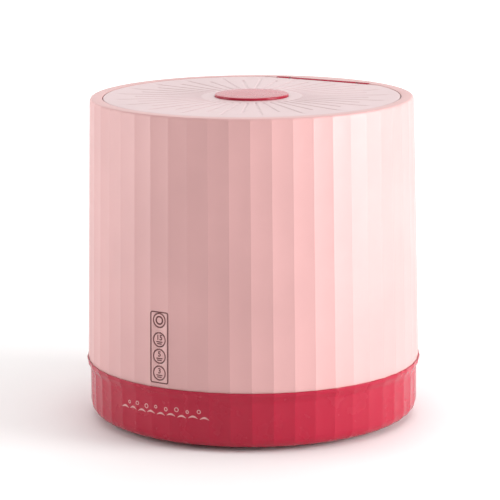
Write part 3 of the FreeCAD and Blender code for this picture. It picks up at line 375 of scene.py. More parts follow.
class Look:
    """A node material around one Principled shader."""

    def __init__(self, name):
        self.material = bpy.data.materials.new(name)
        self.material.use_nodes = True
        self.tree = self.material.node_tree
        self.shader = self.tree.nodes["Principled BSDF"]

    def node(self, kind, **settings):
        made = self.tree.nodes.new(kind)
        for key, value in settings.items():
            setattr(made, key, value)
        return made

    def link(self, out, into):
        self.tree.links.new(out, into)

    def place(self):
        return self.node("ShaderNodeTexCoord").outputs["Object"]

    def stretched(self, scale):
        mapping = self.node("ShaderNodeMapping")
        mapping.inputs["Scale"].default_value = scale
        self.link(self.place(), mapping.inputs["Vector"])
        return mapping.outputs["Vector"]

    def noise(self, scale, detail=3.0, stretch=(1, 1, 1)):
        made = self.node("ShaderNodeTexNoise")
        made.inputs["Scale"].default_value = scale
        made.inputs["Detail"].default_value = detail
        self.link(self.stretched(stretch), made.inputs["Vector"])
        return made.outputs["Fac"]

    def ramp(self, value, low, high, start=0.35, end=0.65):
        made = self.node("ShaderNodeValToRGB")
        made.color_ramp.elements[0].position = start
        made.color_ramp.elements[1].position = end
        made.color_ramp.elements[0].color = (*low, 1)
        made.color_ramp.elements[1].color = (*high, 1)
        self.link(value, made.inputs["Fac"])
        return made.outputs["Color"]

    def spread(self, value, low, high):
        made = self.node("ShaderNodeMapRange")
        made.inputs["To Min"].default_value = low
        made.inputs["To Max"].default_value = high
        self.link(value, made.inputs["Value"])
        return made.outputs["Result"]

    def bump(self, value, strength, distance):
        made = self.node("ShaderNodeBump")
        made.inputs["Strength"].default_value = strength
        made.inputs["Distance"].default_value = distance * MM
        self.link(value, made.inputs["Height"])
        self.link(made.outputs["Normal"], self.shader.inputs["Normal"])


def shade_of(colour, factor):
    return tuple(min(1.0, c * factor) for c in colour)


def plastic(name, colour, roughness, drift=0.04, grain=0.012, grain_scale=2600, coat=0.0, specular=0.5):
    """Moulded plastic: a faint drift of tone, uneven gloss and a fine skin."""
    look = Look(name)
    tone = look.ramp(look.noise(14), shade_of(colour, 1 - drift), shade_of(colour, 1 + drift), 0.3, 0.7)
    look.link(tone, look.shader.inputs["Base Color"])
    gloss = look.spread(look.noise(60, 5), roughness * 0.9, roughness * 1.1)
    look.link(gloss, look.shader.inputs["Roughness"])
    look.shader.inputs["Specular IOR Level"].default_value = specular
    look.shader.inputs["Coat Weight"].default_value = coat
    look.shader.inputs["Coat Roughness"].default_value = 0.12
    look.bump(look.noise(grain_scale, 2), 0.25, grain)
    return look.material


def metal(name, colour, roughness, stretch=(1, 1, 40)):
    """Metal with fine turned or rolled marks."""
    look = Look(name)
    marks = look.noise(420, 4, stretch)
    tone = look.ramp(marks, shade_of(colour, 0.86), shade_of(colour, 1.08))
    look.link(tone, look.shader.inputs["Base Color"])
    look.link(look.spread(marks, roughness * 0.8, roughness * 1.25), look.shader.inputs["Roughness"])
    look.shader.inputs["Metallic"].default_value = 1.0
    look.bump(marks, 0.15, 0.02)
    return look.material


def rubber(name, colour, roughness=0.7):
    """Rubber or silicone: matt, with a powdery mottle and a soft sheen."""
    look = Look(name)
    tone = look.ramp(look.noise(300, 5), shade_of(colour, 0.9), shade_of(colour, 1.1))
    look.link(tone, look.shader.inputs["Base Color"])
    gloss = look.spread(look.noise(900, 4), roughness * 0.9, roughness * 1.1)
    look.link(gloss, look.shader.inputs["Roughness"])
    look.shader.inputs["Sheen Weight"].default_value = 0.15
    look.bump(look.noise(1400, 3), 0.3, 0.03)
    return look.material


def board(name, colour):
    """Solder mask with lighter tracks under it."""
    look = Look(name)
    cells = look.node("ShaderNodeTexVoronoi", distance="CHEBYCHEV")
    cells.inputs["Scale"].default_value = 260
    look.link(look.place(), cells.inputs["Vector"])
    tone = look.ramp(cells.outputs["Distance"], shade_of(colour, 0.8), shade_of(colour, 1.7), 0.45, 0.5)
    look.link(tone, look.shader.inputs["Base Color"])
    look.link(look.spread(look.noise(200), 0.25, 0.4), look.shader.inputs["Roughness"])
    look.bump(cells.outputs["Distance"], 0.2, 0.05)
    return look.material


PINK = (0.59, 0.325, 0.318)
LID_PINK = (0.57, 0.405, 0.415)
RED = (0.37, 0.008, 0.032)
BROWN = (0.10, 0.018, 0.019)

LOOKS = {
    "pink_shell": plastic("satin_pink", PINK, 0.42),
    "lid_pink": plastic("lid_pink", LID_PINK, 0.38),
    "red_shell": plastic("gloss_red", RED, 0.27, drift=0.03, grain=0.006, specular=0.3),
    "tub_white": plastic("tub_white", (0.80, 0.79, 0.77), 0.35),
    "liner_white": plastic("liner_white", (0.82, 0.79, 0.78), 0.4),
    "trim_brown": plastic("printed_brown", BROWN, 0.35),
    "key_pink": plastic("film_pink", (0.60, 0.34, 0.33), 0.3, drift=0.02, grain=0.004),
    "soft_grey": rubber("soft_grey", (0.22, 0.22, 0.23)),
    "soft_white": rubber("soft_white", (0.76, 0.74, 0.72)),
    "foot_rubber": rubber("foot_rubber", (0.03, 0.03, 0.03), 0.8),
    "gear_white": plastic("acetal", (0.72, 0.70, 0.62), 0.45),
    "case_grey": plastic("case_grey", (0.10, 0.11, 0.12), 0.5, grain=0.03, grain_scale=1200),
    "steel": metal("zinc_steel", (0.60, 0.61, 0.62), 0.35),
    "shaft_steel": metal("ground_steel", (0.66, 0.66, 0.67), 0.2),
    "bronze": metal("sintered_bronze", (0.56, 0.36, 0.16), 0.5, (1, 1, 1)),
    "motor_steel": metal("rolled_steel", (0.52, 0.52, 0.53), 0.4, (1, 1, 6)),
    "magnet_dark": plastic("ferrite", (0.045, 0.045, 0.05), 0.6, grain=0.03),
    "board_green": board("solder_mask", (0.012, 0.10, 0.04)),
    "black_plastic": plastic("black_plastic", (0.02, 0.02, 0.02), 0.45),
    "wire_jacket": rubber("wire_jacket", (0.03, 0.03, 0.035), 0.5),
}
SLOTS = {part["node"]: part["material_slot"] for part in frame["record"]["subparts"]}


def wear(obj, slot):
    obj.data.materials.clear()
    obj.data.materials.append(LOOKS[slot])


def fit(obj, body, slot, *stands_for):
    """Gives a finished piece its material and its body, and hides the CAD nodes it stands for."""
    wear(obj, slot)
    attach(obj, body)
    if stands_for:
        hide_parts(*stands_for)
    return obj


def paint_frame():
    """Every CAD node that stays in view keeps its shape and gets its own material."""
    for name, obj in nodes.items():
        wear(obj, SLOTS[name])
        obj.data.polygons.foreach_set("use_smooth", [True] * len(obj.data.polygons))
        obj.data.set_sharp_from_angle(angle=math.radians(CAD_SHARP_ANGLE))


# ---- fluted shells ----

# Places across one flute, from crest to crest, closer together at the crests
ACROSS = (0, 0.015, 0.04, 0.09, 0.18, 0.3, 0.4, 0.5, 0.6, 0.7, 0.82, 0.91, 0.96, 0.985)


def flute_ring(crest, z, depth):
    ring = []
    for flute in range(FLUTES):
        for t in ACROSS:
            scoop = 1 - (2 * t - 1) ** 2
            angle = FRONT + (flute - 0.5 + t) * 360 / FLUTES
            ring.append(polar(crest - depth * scoop, angle, z))
    return ring


def barrel_shell():
    """The drum's wall, fluted all the way up to the rim."""
    outer_levels = (LEDGE_Z, 70, 110, 150, 190, 225, SEAM_Z)
    inner_levels = (SEAM_Z, 220, 150, 90, LEDGE_Z)
    rings = [flute_ring(drum_radius(z), z, FLUTE_DEPTH) for z in outer_levels]
    rings += [flute_ring(drum_radius(z) - FLUTE_DEPTH - WALL, z, 0) for z in inner_levels]
    shell = skin("barrel_shell", rings, closed=True)
    posts = ring_spots(POST_RING_R, SIX_ROUND)
    boss_top = LEDGE_Z + 17.4
    bosses = rods("bosses", 4.6, LEDGE_Z - 8.6, boss_top, posts)
    rib_low = (POST_RING_R + 3, -1.5, LEDGE_Z + 1.4)
    rib_high = (drum_radius(60) - 1.5, 1.5, boss_top)
    ribs = [turn(slab("rib", rib_low, rib_high), angle, "Z") for angle in SIX_ROUND]
    for rib in ribs:
        combine(bosses, rib, "UNION")
    combine(shell, bosses, "UNION")
    window = on_panel(prism("window", rounded_rectangle(PANEL_W - 1.2, PANEL_H - 1.2, 1.2), -3, 5))
    return combine(shell, window)


def base_outline():
    """(r, z, flute depth) up the outside of the base and down its inside."""
    outer = soften([
        (0, FOOT_H, 0), (BASE_R, FOOT_H, 10), (BASE_R, LIP_Z - 7.6, 8), (LIP_R - 0.35, LIP_Z - 3.0, 3),
        (LIP_R, LIP_Z, 0.45), (LIP_R - 1.1, LIP_Z, 0.35), (LIP_R - 1.1, LEDGE_Z, 0),
    ], closed=False)
    rows = [(r, z, FLUTE_DEPTH if r > BASE_R - 9 else 0) for r, z in outer]
    floor = FOOT_H + 2.5
    inner = soften([
        (LIP_R - 1.1, LEDGE_Z, 0), (BASE_INNER_R, LEDGE_Z, 0), (BASE_INNER_R, floor, 7.5), (0, floor, 0),
    ], closed=False)
    return rows + [(r, z, 0) for r, z in inner[1:]]


def base_shell():
    """The base's pan with its screw posts, the rear niche and the holes through it."""
    rings = []
    for r, z, depth in base_outline():
        rings.append([(0, 0, z)] if r == 0 else flute_ring(r, z, depth))
    shell = skin("base_shell", rings)
    posts = ring_spots(POST_RING_R, SIX_ROUND)
    combine(shell, rods("posts", 4.6, FOOT_H + 1, 36, posts), "UNION")
    combine(shell, niche_wall(), "UNION")
    combine(shell, slab("niche", (-NICHE_HALF, NICHE_Y, 12), (NICHE_HALF, 150, 38), 1.2))
    combine(shell, rods("channels", 3.2, 0, 26, posts))
    combine(shell, rods("foot_holes", 3.05, 0, 8, ring_spots(FOOT_RING_R, DIAGONALS)))
    ports = []
    for x, radius in ((DRAIN_X, 7.45), (-DRAIN_X, 5.1)):
        ports.append(point_back(rods("port", radius, 100, 120, [(0, 0)], 32), x, PORT_Z))
    return combine(shell, merged("ports", ports))


def niche_wall():
    """The box around the rear niche, its outer side an arc just inside the base's wall."""
    half = NICHE_HALF + NICHE_WALL
    wall_r = BASE_R - 1.7
    edge = math.degrees(math.asin(half / wall_r))
    outline = [(-half, NICHE_Y - NICHE_WALL), (half, NICHE_Y - NICHE_WALL)]
    outline += [polar(wall_r, 90 - edge + 2 * edge * i / 16, 0)[:2] for i in range(17)]
    return prism("niche_wall", outline, 9.5, 40.5)


# ---- top ring, lid and hinge ----

def top_ring_shell():
    """The rim. The drum's flutes run up over its rounded edge and fade out at the top."""
    low = bottom_of("top_ring")
    fillet = RIM_Z - SEAM_Z
    round_r = drum_radius(SEAM_Z) - fillet
    rings = []
    for step in range(9):
        bend = math.radians(90 * step / 8)
        depth = FLUTE_DEPTH * math.cos(bend)
        rings.append(flute_ring(round_r + fillet * math.cos(bend), SEAM_Z + fillet * math.sin(bend), depth))
    inside = soften([
        (round_r, RIM_Z, 0), (OPENING_R, RIM_Z, 0.8), (OPENING_R, low, 0.4),
        (OPENING_R + 2, low, 0), (OPENING_R + 2, RIM_Z - 2.5, 0), (OPENING_R + 5.4, RIM_Z - 2.5, 0),
        (OPENING_R + 5.4, low, 0), (RING_OUTER_R - 3, low, 0), (RING_OUTER_R - 3, SEAM_Z, 0),
    ], closed=False)
    rings += [flute_ring(r, z, 0) for r, z in inside[1:]]
    ring = skin("top_ring_shell", rings, closed=True)
    deck_r = OPENING_R + 1
    edge = math.degrees(math.acos(DECK_Y / deck_r))
    arc = [polar(deck_r, 90 - edge + 2 * edge * i / 40, 0)[:2] for i in range(41)]
    combine(ring, prism("deck", arc, low + 2, RIM_Z), "UNION")
    half = BRACKET_OUT + 0.4
    combine(ring, slab("pocket", (-half, DECK_Y - 2, POCKET_FLOOR_Z), (half, HINGE_Y + 4, 270), 0.8))
    bosses = rods("ring_bosses", 3.0, low, RIM_Z - 2.4, ring_spots(SCREW_RING_R, SIX_ROUND))
    return combine(ring, bosses, "UNION")


def lid_columns():
    """Columns of points round the lid.

    (angle, offset in mm, ray) stands across a groove, (angle, share of the gap, None) between two.
    """
    columns = []
    for ray in range(RAYS):
        angle = FRONT + RAY_TURN + ray * 360 / RAYS
        for offset in (-GROOVE_HALF, -1.1, -0.75, -0.4, 0, 0.4, 0.75, 1.1, GROOVE_HALF):
            columns.append((angle, offset, ray))
        for share in (0.2, 0.4, 0.6, 0.8):
            columns.append((angle, share, None))
    return columns


def lid_edge(angle, inset=0.0):
    """How far the lid reaches at an angle: a circle with its back cut straight."""
    sine = math.sin(math.radians(angle))
    chord = LID_CHORD_Y - inset
    return min(LID_R - inset, chord / sine) if sine > 0.5 else LID_R - inset


def column_angle(column, radius):
    """Where a column stands at a radius. Inside the button's edge the columns keep their angles."""
    angle, offset, ray = column
    clear_radius = max(radius, DISC_R)
    if ray is not None:
        return angle + math.degrees(offset / clear_radius)
    first = math.degrees(GROOVE_HALF / clear_radius)
    return angle + first + offset * (360 / RAYS - 2 * first)


def groove(column, radius):
    """The depth of the sunburst's groove in the lid."""
    offset, ray = column[1:]
    if ray is None:
        return 0.0
    far = RAY_LONG if ray % 2 == 0 else RAY_SHORT
    past = max(RAY_START - radius, radius - far, 0)
    across = math.hypot(offset, past * 1.2)
    return max(0.0, math.sqrt(max(GROOVE_R ** 2 - across ** 2, 0)) - (GROOVE_R - GROOVE_DEPTH))


def plate_rings(rows, columns, inset=0.0):
    """Rings of a lid-shaped plate.

    A row is ("in", radius, z) or ("edge", distance short of the plate's edge, z).
    """
    rings = []
    for kind, amount, z in rows:
        ring = []
        for column in columns:
            if kind == "in":
                radius = amount
            else:
                reach = lid_edge(column_angle(column, LID_R), inset)
                radius = reach - amount * min(1.0, (reach - CORE_R) / (LID_R - CORE_R))
            depth = groove(column, radius) if kind == "in" and z == LID_Z else 0
            ring.append(polar(radius, column_angle(column, radius), z - depth))
        rings.append(ring)
    return rings


def lid_top():
    """The lid's cover: a flat top with the sunburst of grooves, a rounded rim and a hollow underside."""
    hollow = LID_Z - 2.2
    seat = LID_Z - 0.8
    seat_r = DISC_R + 0.2
    rows = [("in", 5.1, hollow), ("in", 5.1, seat), ("in", seat_r, seat), ("in", seat_r, LID_Z - 0.25)]
    rows.append(("in", DISC_R + 0.45, LID_Z))
    radii = [36, 40.0, 40.6, 41.2, 41.8, 43, 50, 60, 70, 80, 88]
    radii += [92.5, 93.2, 93.8, 94.4, 95, 100, 104.2, 104.8]
    rows += [("in", r, LID_Z) for r in radii]
    rows += [("edge", 9, LID_Z), ("edge", 4, LID_Z)]
    for step in range(6):
        bend = math.radians(18 * step)
        rows.append(("edge", 0.9 - 0.9 * math.sin(bend), LID_Z - 0.9 + 0.9 * math.cos(bend)))
    rows += [("edge", 0, LINER_HIGH + 0.2), ("edge", 0.2, LINER_HIGH)]
    rows += [("edge", 2, LINER_HIGH), ("edge", 2, hollow)]
    rows += [("in", 100, hollow), ("in", 60, hollow)]
    cover = skin("lid_top", plate_rings(rows, lid_columns()), closed=True)
    slot = slab("leaf_slot", (-HINGE_HALF - 0.3, 103, LINER_HIGH - 1), (HINGE_HALF + 0.3, 107, LID_Z - 2.25))
    return combine(cover, slot)


def lid_button():
    """The glossy round button in the middle of the lid."""
    return spin("lid_button", [
        (0, DISC_Z, 0), (12, DISC_Z - 0.03, 0), (22, DISC_Z - 0.1, 0),
        (DISC_R, DISC_Z - 0.2, 0.95), (DISC_R, LID_Z - 0.7, 0.2),
        (5, LID_Z - 0.7, 0), (5, LINER_HIGH + 0.5, 0.4), (0, LINER_HIGH + 0.5, 0),
    ], 128, 7)


def lid_screw_spots():
    return ring_spots(88, DIAGONALS) + [(-22, 92), (22, 92)]


def liner_plate():
    """The lid's white inner plate, with a shallow raised field inside the gasket."""
    columns = [(FRONT + 2 * i, 0.0, i) for i in range(180)]
    field = LINER_LOW + 0.5
    rows = [("in", 20, field), ("in", 60, field), ("in", 61, LINER_LOW + 0.42), ("in", 62, LINER_LOW + 0.1)]
    rows += [("in", 63, LINER_LOW), ("in", 104.2, LINER_LOW)]
    rows += [("edge", 0.8, LINER_LOW), ("edge", 0.25, LINER_LOW + 0.2)]
    rows += [("edge", 0, LINER_LOW + 0.7), ("edge", 0, LINER_HIGH), ("in", 100, LINER_HIGH)]
    rings = plate_rings(rows, columns, 2.3)
    plate = skin("liner_plate", [[(0, 0, field)]] + rings + [[(0, 0, LINER_HIGH)]])
    return combine(plate, rods("liner_holes", 1.3, LINER_LOW - 1, LINER_HIGH + 1, lid_screw_spots()))


def gasket():
    """The soft ring under the lid's liner, round at its foot."""
    top, foot = LINER_LOW - 0.02, LINER_LOW - 2.6
    return spin("gasket", [(100.4, top, 0), (100.4, foot, 0.99), (102.4, foot, 0.99), (102.4, top, 0)], 180)


def hinge_leaf():
    """The lid's half of the hinge: a round barrel with a leaf under the lid."""
    barrel = along_x("hinge_leaf", HINGE_R, -HINGE_HALF, HINGE_HALF)
    leaf = slab("leaf", (-HINGE_HALF, 84, HINGE_Z - HINGE_R), (HINGE_HALF, HINGE_Y, LID_Z - 2.4), 0.3)
    combine(barrel, leaf, "UNION")
    feet = [(x, y) for x, y in lid_screw_spots() if y > 90]
    combine(barrel, rods("leaf_feet", 3.6, LINER_HIGH + 0.02, HINGE_Z - HINGE_R + 0.3, feet), "UNION")
    bore = along_x("bore", 1.3, -HINGE_HALF - 1, HINGE_HALF + 1, 0)
    return combine(barrel, bore)


def along_x(name, radius, x0, x1, ease=0.4):
    """A round bar on the hinge's axis."""
    bar = spin(name, [(0, x0, 0), (radius, x0, ease), (radius, x1, ease), (0, x1, 0)], 40, 3)
    return move(turn(bar, 90, "Y"), 0, HINGE_Y, HINGE_Z)


def hinge_ears():
    """The two fixed knuckles on their strip in the pocket."""
    ears = slab("hinge_ears", (-BRACKET_OUT, HINGE_Y - 3, POCKET_FLOOR_Z + 0.02),
                (BRACKET_OUT, HINGE_Y + 3.4, POCKET_FLOOR_Z + 1.1), 0.25)
    for side in (-1, 1):
        x0, x1 = sorted((side * BRACKET_IN, side * BRACKET_OUT))
        web = slab("web", (x0, HINGE_Y - 2.3, POCKET_FLOOR_Z + 0.6), (x1, HINGE_Y + 2.3, HINGE_Z), 0.2)
        combine(ears, web, "UNION")
        combine(ears, along_x("knuckle", HINGE_R, x0, x1), "UNION")
    return combine(ears, along_x("bore", 1.27, -BRACKET_OUT - 1, BRACKET_OUT + 1, 0))


def hinge_rod():
    """The steel pin through all the knuckles."""
    end = box("hinge_pin")[1].x
    return along_x("hinge_rod", 1.25, -end, end, 0.3)


# ---- control panel ----

def on_panel(obj):
    """Moves a piece from the panel's frame (x across, y up, z inwards) to the leaning wall."""
    turn(obj, 90, "X")
    obj.data.transform(Matrix.Scale(-1, 4, (0, 1, 0)))
    turn(obj, -math.degrees(PANEL_LEAN), "X")
    move(obj, 0, -(drum_radius(PANEL_Z) - FLUTE_DEPTH), PANEL_Z)
    clean(obj)
    return obj


def bow(obj):
    """Bends a flat piece in the panel's frame to the hollow of the flute."""
    half_flute = math.pi * drum_radius(PANEL_Z) / FLUTES
    for vert in obj.data.vertices:
        vert.co.z -= 0.235 * MM * (vert.co.x / (half_flute * MM)) ** 2
    return obj


def key_height(name):
    """A key's middle, up the leaning panel from the panel's own middle."""
    low, high = box(name)
    middle_z = (low.z + high.z) / 2
    return (middle_z - PANEL_Z) / math.cos(PANEL_LEAN) + 0.1


def plate_with_holes(name, width, height, corner, front, back, holes, lanes=16):
    """A thin plate in the panel's frame, divided across so that it can be bowed."""
    outline = rounded_rectangle(width, height, corner)
    plate = prism(name, outline, front, back)
    for lane in range(1, lanes):
        x = (-width / 2 + width * lane / lanes) * MM
        work = bmesh.new()
        work.from_mesh(plate.data)
        everything = work.verts[:] + work.edges[:] + work.faces[:]
        bmesh.ops.bisect_plane(work, geom=everything, plane_co=(x, 0, 0), plane_no=(1, 0, 0))
        work.to_mesh(plate.data)
        work.free()
    for hole in holes:
        combine(plate, hole)
    return plate


def panel_field():
    """Width, height and corner of the panel inside its dark outline."""
    return PANEL_W - 2 * PANEL_BORDER, PANEL_H - 2 * PANEL_BORDER, PANEL_CORNER - PANEL_BORDER


def panel_film():
    holes = [rods("key_hole", KEY_HOLE_R, -3, 6, [(0, key_height(key))], 64) for key in KEYS]
    film = plate_with_holes("panel_film", *panel_field(), -0.12, 1.0, holes)
    ease_edges(film, 0.08, 60)
    return on_panel(bow(film))


def panel_outline():
    hole = prism("outline_hole", rounded_rectangle(*panel_field()), -3, 6)
    rim = plate_with_holes("panel_outline", PANEL_W + 0.3, PANEL_H, PANEL_CORNER, -0.16, 0.5, [hole])
    return on_panel(bow(rim))


def key_cap(name):
    """A flat round key with a soft edge."""
    height = key_height(name)
    cap = spin(name + "_cap", [
        (0, -0.14, 0), (3, -0.14, 0), (KEY_R, -0.14, 0.25), (KEY_R, 4.1, 0),
        (3, 4.1, 0), (1.75, 5.1, 0.3), (1.75, 9.0, 0.3), (0, 9.0, 0),
    ], 64, 4)
    return on_panel(move(cap, 0, height))


def key_ring(name, outer, inner):
    """A printed ring on a key."""
    front = -0.22
    corners = [(outer, front, 0.03), (outer, PRINT_BACK, 0), (inner, PRINT_BACK, 0), (inner, front, 0.03)]
    return spin(name, corners, 64, 2)


def key_marks(name):
    """The printed marks of one key: its ring and, inside, a smaller ring or a number over two dashes."""
    marks = [key_ring("edge_line", KEY_R - 0.1, KEY_R - 0.85)]
    digits = KEYS[name]
    if digits:
        marks.append(figure(digits, 5.8, 1.6))
        for width, y in ((5.8, -1.7), (4.4, -3.2)):
            dash = prism("dash", rounded_rectangle(width, 0.95, 0.4, 2), -0.2, PRINT_BACK)
            marks.append(move(dash, 0, y))
    else:
        marks.append(key_ring("inner_ring", 3.6, 2.3))
    whole = merged(name + "_marks", marks)
    return on_panel(move(whole, 0, key_height(name)))


def figure(digits, size, lift):
    """A number as a thin raised print, centred on the key."""
    curve = bpy.data.curves.new("figure", "FONT")
    curve.body = digits
    curve.size = size * MM
    curve.extrude = 0.06 * MM
    curve.offset = 0.16 * MM
    curve.align_x = "CENTER"
    curve.align_y = "CENTER"
    text = linked("figure", curve)
    graph = bpy.context.evaluated_depsgraph_get()
    mesh = bpy.data.meshes.new_from_object(text.evaluated_get(graph))
    bpy.data.objects.remove(text)
    return move(linked("figure_mesh", mesh), 0, lift, -0.15)


# ---- ornament on the base ----

def ornament():
    """A printed line of waves and bubbles across the front of the base."""
    pieces = []
    for wave in range(9):
        middle = FRONT - 16.5 + wave * 4.1
        pieces.append(wave_band(middle, 3.3, 26.0 + 0.5 * (wave % 2), 1.5, 0.75))
    for bubble in range(8):
        middle = FRONT - 14.4 + bubble * 4.1
        pieces.append(bubble_mark(middle, 31.2 + 0.8 * (bubble % 2), 1.1 + 0.25 * (bubble % 3)))
    return merged("base_ornament", pieces)


def print_radius(angle):
    """Just proud of the base's fluted wall at an angle."""
    t = ((angle - FRONT) / (360 / FLUTES) + 0.5) % 1
    return BASE_R - FLUTE_DEPTH * (1 - (2 * t - 1) ** 2)


def wave_band(middle, span, z, rise, thick):
    """A crescent-shaped stroke, thick in the middle and pointed at its ends."""
    rings = []
    steps = 16
    for step in range(steps + 1):
        t = step / steps
        angle = middle + span * (t - 0.5)
        weight = thick * math.sin(math.pi * (0.06 + 0.88 * t))
        height = z + rise * math.sin(math.pi * t)
        r = print_radius(angle)
        corners = ((-0.1, -weight), (0.06, -weight), (0.06, weight), (-0.1, weight))
        rings.append([polar(r + p, angle, height + q) for p, q in corners])
    return skin_capped("wave", rings)


def bubble_mark(angle, z, radius):
    """A small printed ring on the base's wall."""
    rings = []
    steps = 28
    for step in range(steps):
        bend = 2 * math.pi * step / steps
        ring = []
        for lift, grow in ((-0.1, -0.32), (0.06, -0.32), (0.06, 0.32), (-0.1, 0.32)):
            across = angle + math.degrees((radius + grow) * math.cos(bend) / BASE_R)
            ring.append(polar(print_radius(across) + lift, across, z + (radius + grow) * math.sin(bend)))
        rings.append(ring)
    return skin("bubble", rings, closed=True)


# ---- tub and pulsator ----

def rib_columns(count, first, offsets, fills):
    """Columns of points as for the lid: offsets in mm across each rib, and fills evenly between two ribs."""
    columns = []
    for i in range(count):
        angle = first + 360 * i / count
        columns += [(angle, offset, i) for offset in offsets]
        columns += [(angle, (k + 1) / (fills + 1), None) for k in range(fills)]
    return columns


def feature_angle(column, radius, count, widest):
    angle, offset, index = column
    if index is not None:
        return angle + math.degrees(offset / radius)
    first = math.degrees(widest / radius)
    return angle + first + offset * (360 / count - 2 * first)


def tub_shell():
    """The wash tub: a rounded bowl with six scrubbing ribs and a wide flange."""
    floor = TUB_FLOOR_Z
    flange = box("wash_tub")[1].z - 0.05
    columns = rib_columns(TUB_RIBS, 30, (-2.6, -2.0, -1.6, -1.1, -0.6, 0, 0.6, 1.1, 1.6, 2.0, 2.6), 13)
    corners = [
        (10, floor, 0), (91, floor, 9.5), (96.5, 246, 0), (97.2, flange, 2.4),
        (126.9, flange, 0.3), (126.9, flange - 2.2, 0.3), (100.3, flange - 2.2, 2),
        (98.7, 244, 0), (93.2, floor - 2.2, 11.5), (10, floor - 2.2, 0),
    ]
    outline = soften(corners, True, 6)
    inner_wall = [i for i, (r, z) in enumerate(outline) if 99 < z < 247 and r < 97 and z > floor + 9]
    rows = []
    for i, (r, z) in enumerate(outline):
        rows.append((r, z, False))
        if i == inner_wall[0]:
            rows += [(91 + 5.5 * (q - 99.5) / 146.5, q, True) for q in rib_heights()]
    rings = []
    for r, z, ribbed in rows:
        ring = []
        for column in columns:
            rise = rib_rise(column, z) if ribbed else 0
            ring.append(polar(r - rise, feature_angle(column, r, TUB_RIBS, TUB_RIB_HALF), z))
        rings.append(ring)
    shell = skin("tub_shell", rings, closed=True)
    middle, drain = [(0, 0)], [(DRAIN_X, DRAIN_Y)]
    combine(shell, rods("tub_stub", 15, 82.7, floor - 1, middle, 48), "UNION")
    combine(shell, rods("drain_stub", 6.8, 76, floor - 1, drain, 48), "UNION")
    combine(shell, rods("drain_hole", 5.4, 70, 95, drain, 48))
    combine(shell, rods("strainer_seat", 8.6, 89.2, 95, drain, 48))
    combine(shell, rods("shaft_hole", 9.5, 80, 95, middle, 48))
    return combine(shell, rods("tub_holes", 1.42, 240, 255, ring_spots(SCREW_RING_R, SIX_ROUND)))


def rib_heights():
    """Levels of the tub's wall, closer together at the rounded ends of the ribs."""
    ends = [1 - math.cos(math.radians(18 * i)) for i in range(6)]
    low = [124 + 3.0 * e for e in ends]
    high = [236 - 3.0 * e for e in reversed(ends)]
    return [122] + low + [150, 180, 210] + high + [238]


def rib_rise(column, z):
    """How far a rib stands out from the tub's wall."""
    offset, index = column[1:]
    if index is None:
        return 0
    past = max(127 - z, z - 233, 0) * 0.75
    return math.sqrt(max(TUB_RIB_RISE ** 2 - offset ** 2 - past ** 2, 0))


def pulsator_dish():
    """The pulsator: a low dome with six soft fins."""
    columns = rib_columns(FINS, 0, (-6.5, -5, -3.8, -2.6, -1.7, -0.9, 0, 0.9, 1.7, 2.6, 3.8, 5, 6.5), 7)
    top = [
        (56, 93.0), (55.8, 94.2), (55, 95.1), (53.5, 95.5), (50, 95.7), (46, 96), (42, 96.4), (36, 97.3),
        (30, 98.7), (24, 100.9), (18, 104), (14.5, 107), (12.6, 109.3), (12, HUB_TOP_Z),
    ]
    under = [(6.3, HUB_TOP_Z), (6.3, 106), (5.1, 106), (5.1, 91.6), (53.5, 91.6), (55.3, 92.0)]
    rings = []
    for r, z in top:
        ring = []
        for column in columns:
            reach = max(r, HUB_R)
            angle = feature_angle(column, reach, FINS, min(FIN_HALF, reach * 0.45))
            if column[2] is not None:
                angle = column[0] + math.degrees(column[1] / reach * min(1.0, r / 18))
            ring.append(polar(r, angle, z + fin_rise(column, r, z)))
        rings.append(ring)
    for r, z in under:
        rings.append([polar(r, 360 * i / len(columns), z) for i in range(len(columns))])
    dish = skin("pulsator_dish", rings, closed=True)
    holes = []
    for angle in SIX_ROUND:
        holes += [polar(radius, 30 + angle, 0)[:2] for radius in (24, 32, 40, 48)]
    return combine(dish, rods("dish_holes", 1.6, 90, 112, holes, 20))


def fin_rise(column, radius, z):
    """A fin's height over the dome: highest towards the middle, fading at the dish's edge and at the hub."""
    offset, index = column[1:]
    if index is None or radius > FIN_END_R:
        return 0
    crest = 97.5 + 11.5 * (1 - ((radius - 9) / 42) ** 2) if radius > 9 else 109
    along = min(1.0, (FIN_END_R - radius) / 6) * min(1.0, max(0, radius - 12) / 2)
    across = 1 / (1 + math.exp((abs(offset) - 2.3) * 2.6))
    return max(0.0, crest - z) * along * across


def pulsator_knob():
    return spin("pulsator_knob", [
        (0, 116, 0), (4, 115.7, 2), (8.5, 114.3, 3), (11.5, 110.4, 0.8), (11.5, 110.02, 0),
        (6.1, 110.02, 0), (6.0, 109.1, 0.1), (4.6, 109.1, 0), (4.6, HUB_TOP_Z, 0), (0, HUB_TOP_Z, 0),
    ], 64)


# ---- rear fittings and feet ----

def foot_pads():
    top = FOOT_H - 0.05
    corners = [
        (0, 0.35, 0), (6.2, 0.35, 0.2), (6.8, 0, 0.2), (10, 0, 1.0), (10, top, 0.4),
        (3, top, 0), (3, 5.5, 0), (4.4, 5.6, 0.3), (3, 8, 0.4), (0, 8, 0),
    ]
    pads = [move(spin("foot", corners, 48, 3), x, y) for x, y in ring_spots(FOOT_RING_R, DIAGONALS)]
    return merged("foot_pads", pads)


def spigot_pipe():
    flange = NICHE_Y - NICHE_WALL - 0.02
    pipe = spin("spigot_pipe", [
        (5.05, 98, 0.2), (6.8, 98, 0.5), (6.8, 107.2, 0), (10, 107.2, 0.4), (10, flange, 0), (7.4, flange, 0),
        (7.4, NICHE_Y, 0.1), (7.0, NICHE_Y + 0.1, 0), (7.0, 123, 0.2), (6.7, 123.4, 0.1),
        (6.95, 124.2, 0.2), (6.9, 126, 0.4), (5.05, 126, 0.3),
    ], 56, 3)
    return point_back(pipe, DRAIN_X, PORT_Z)


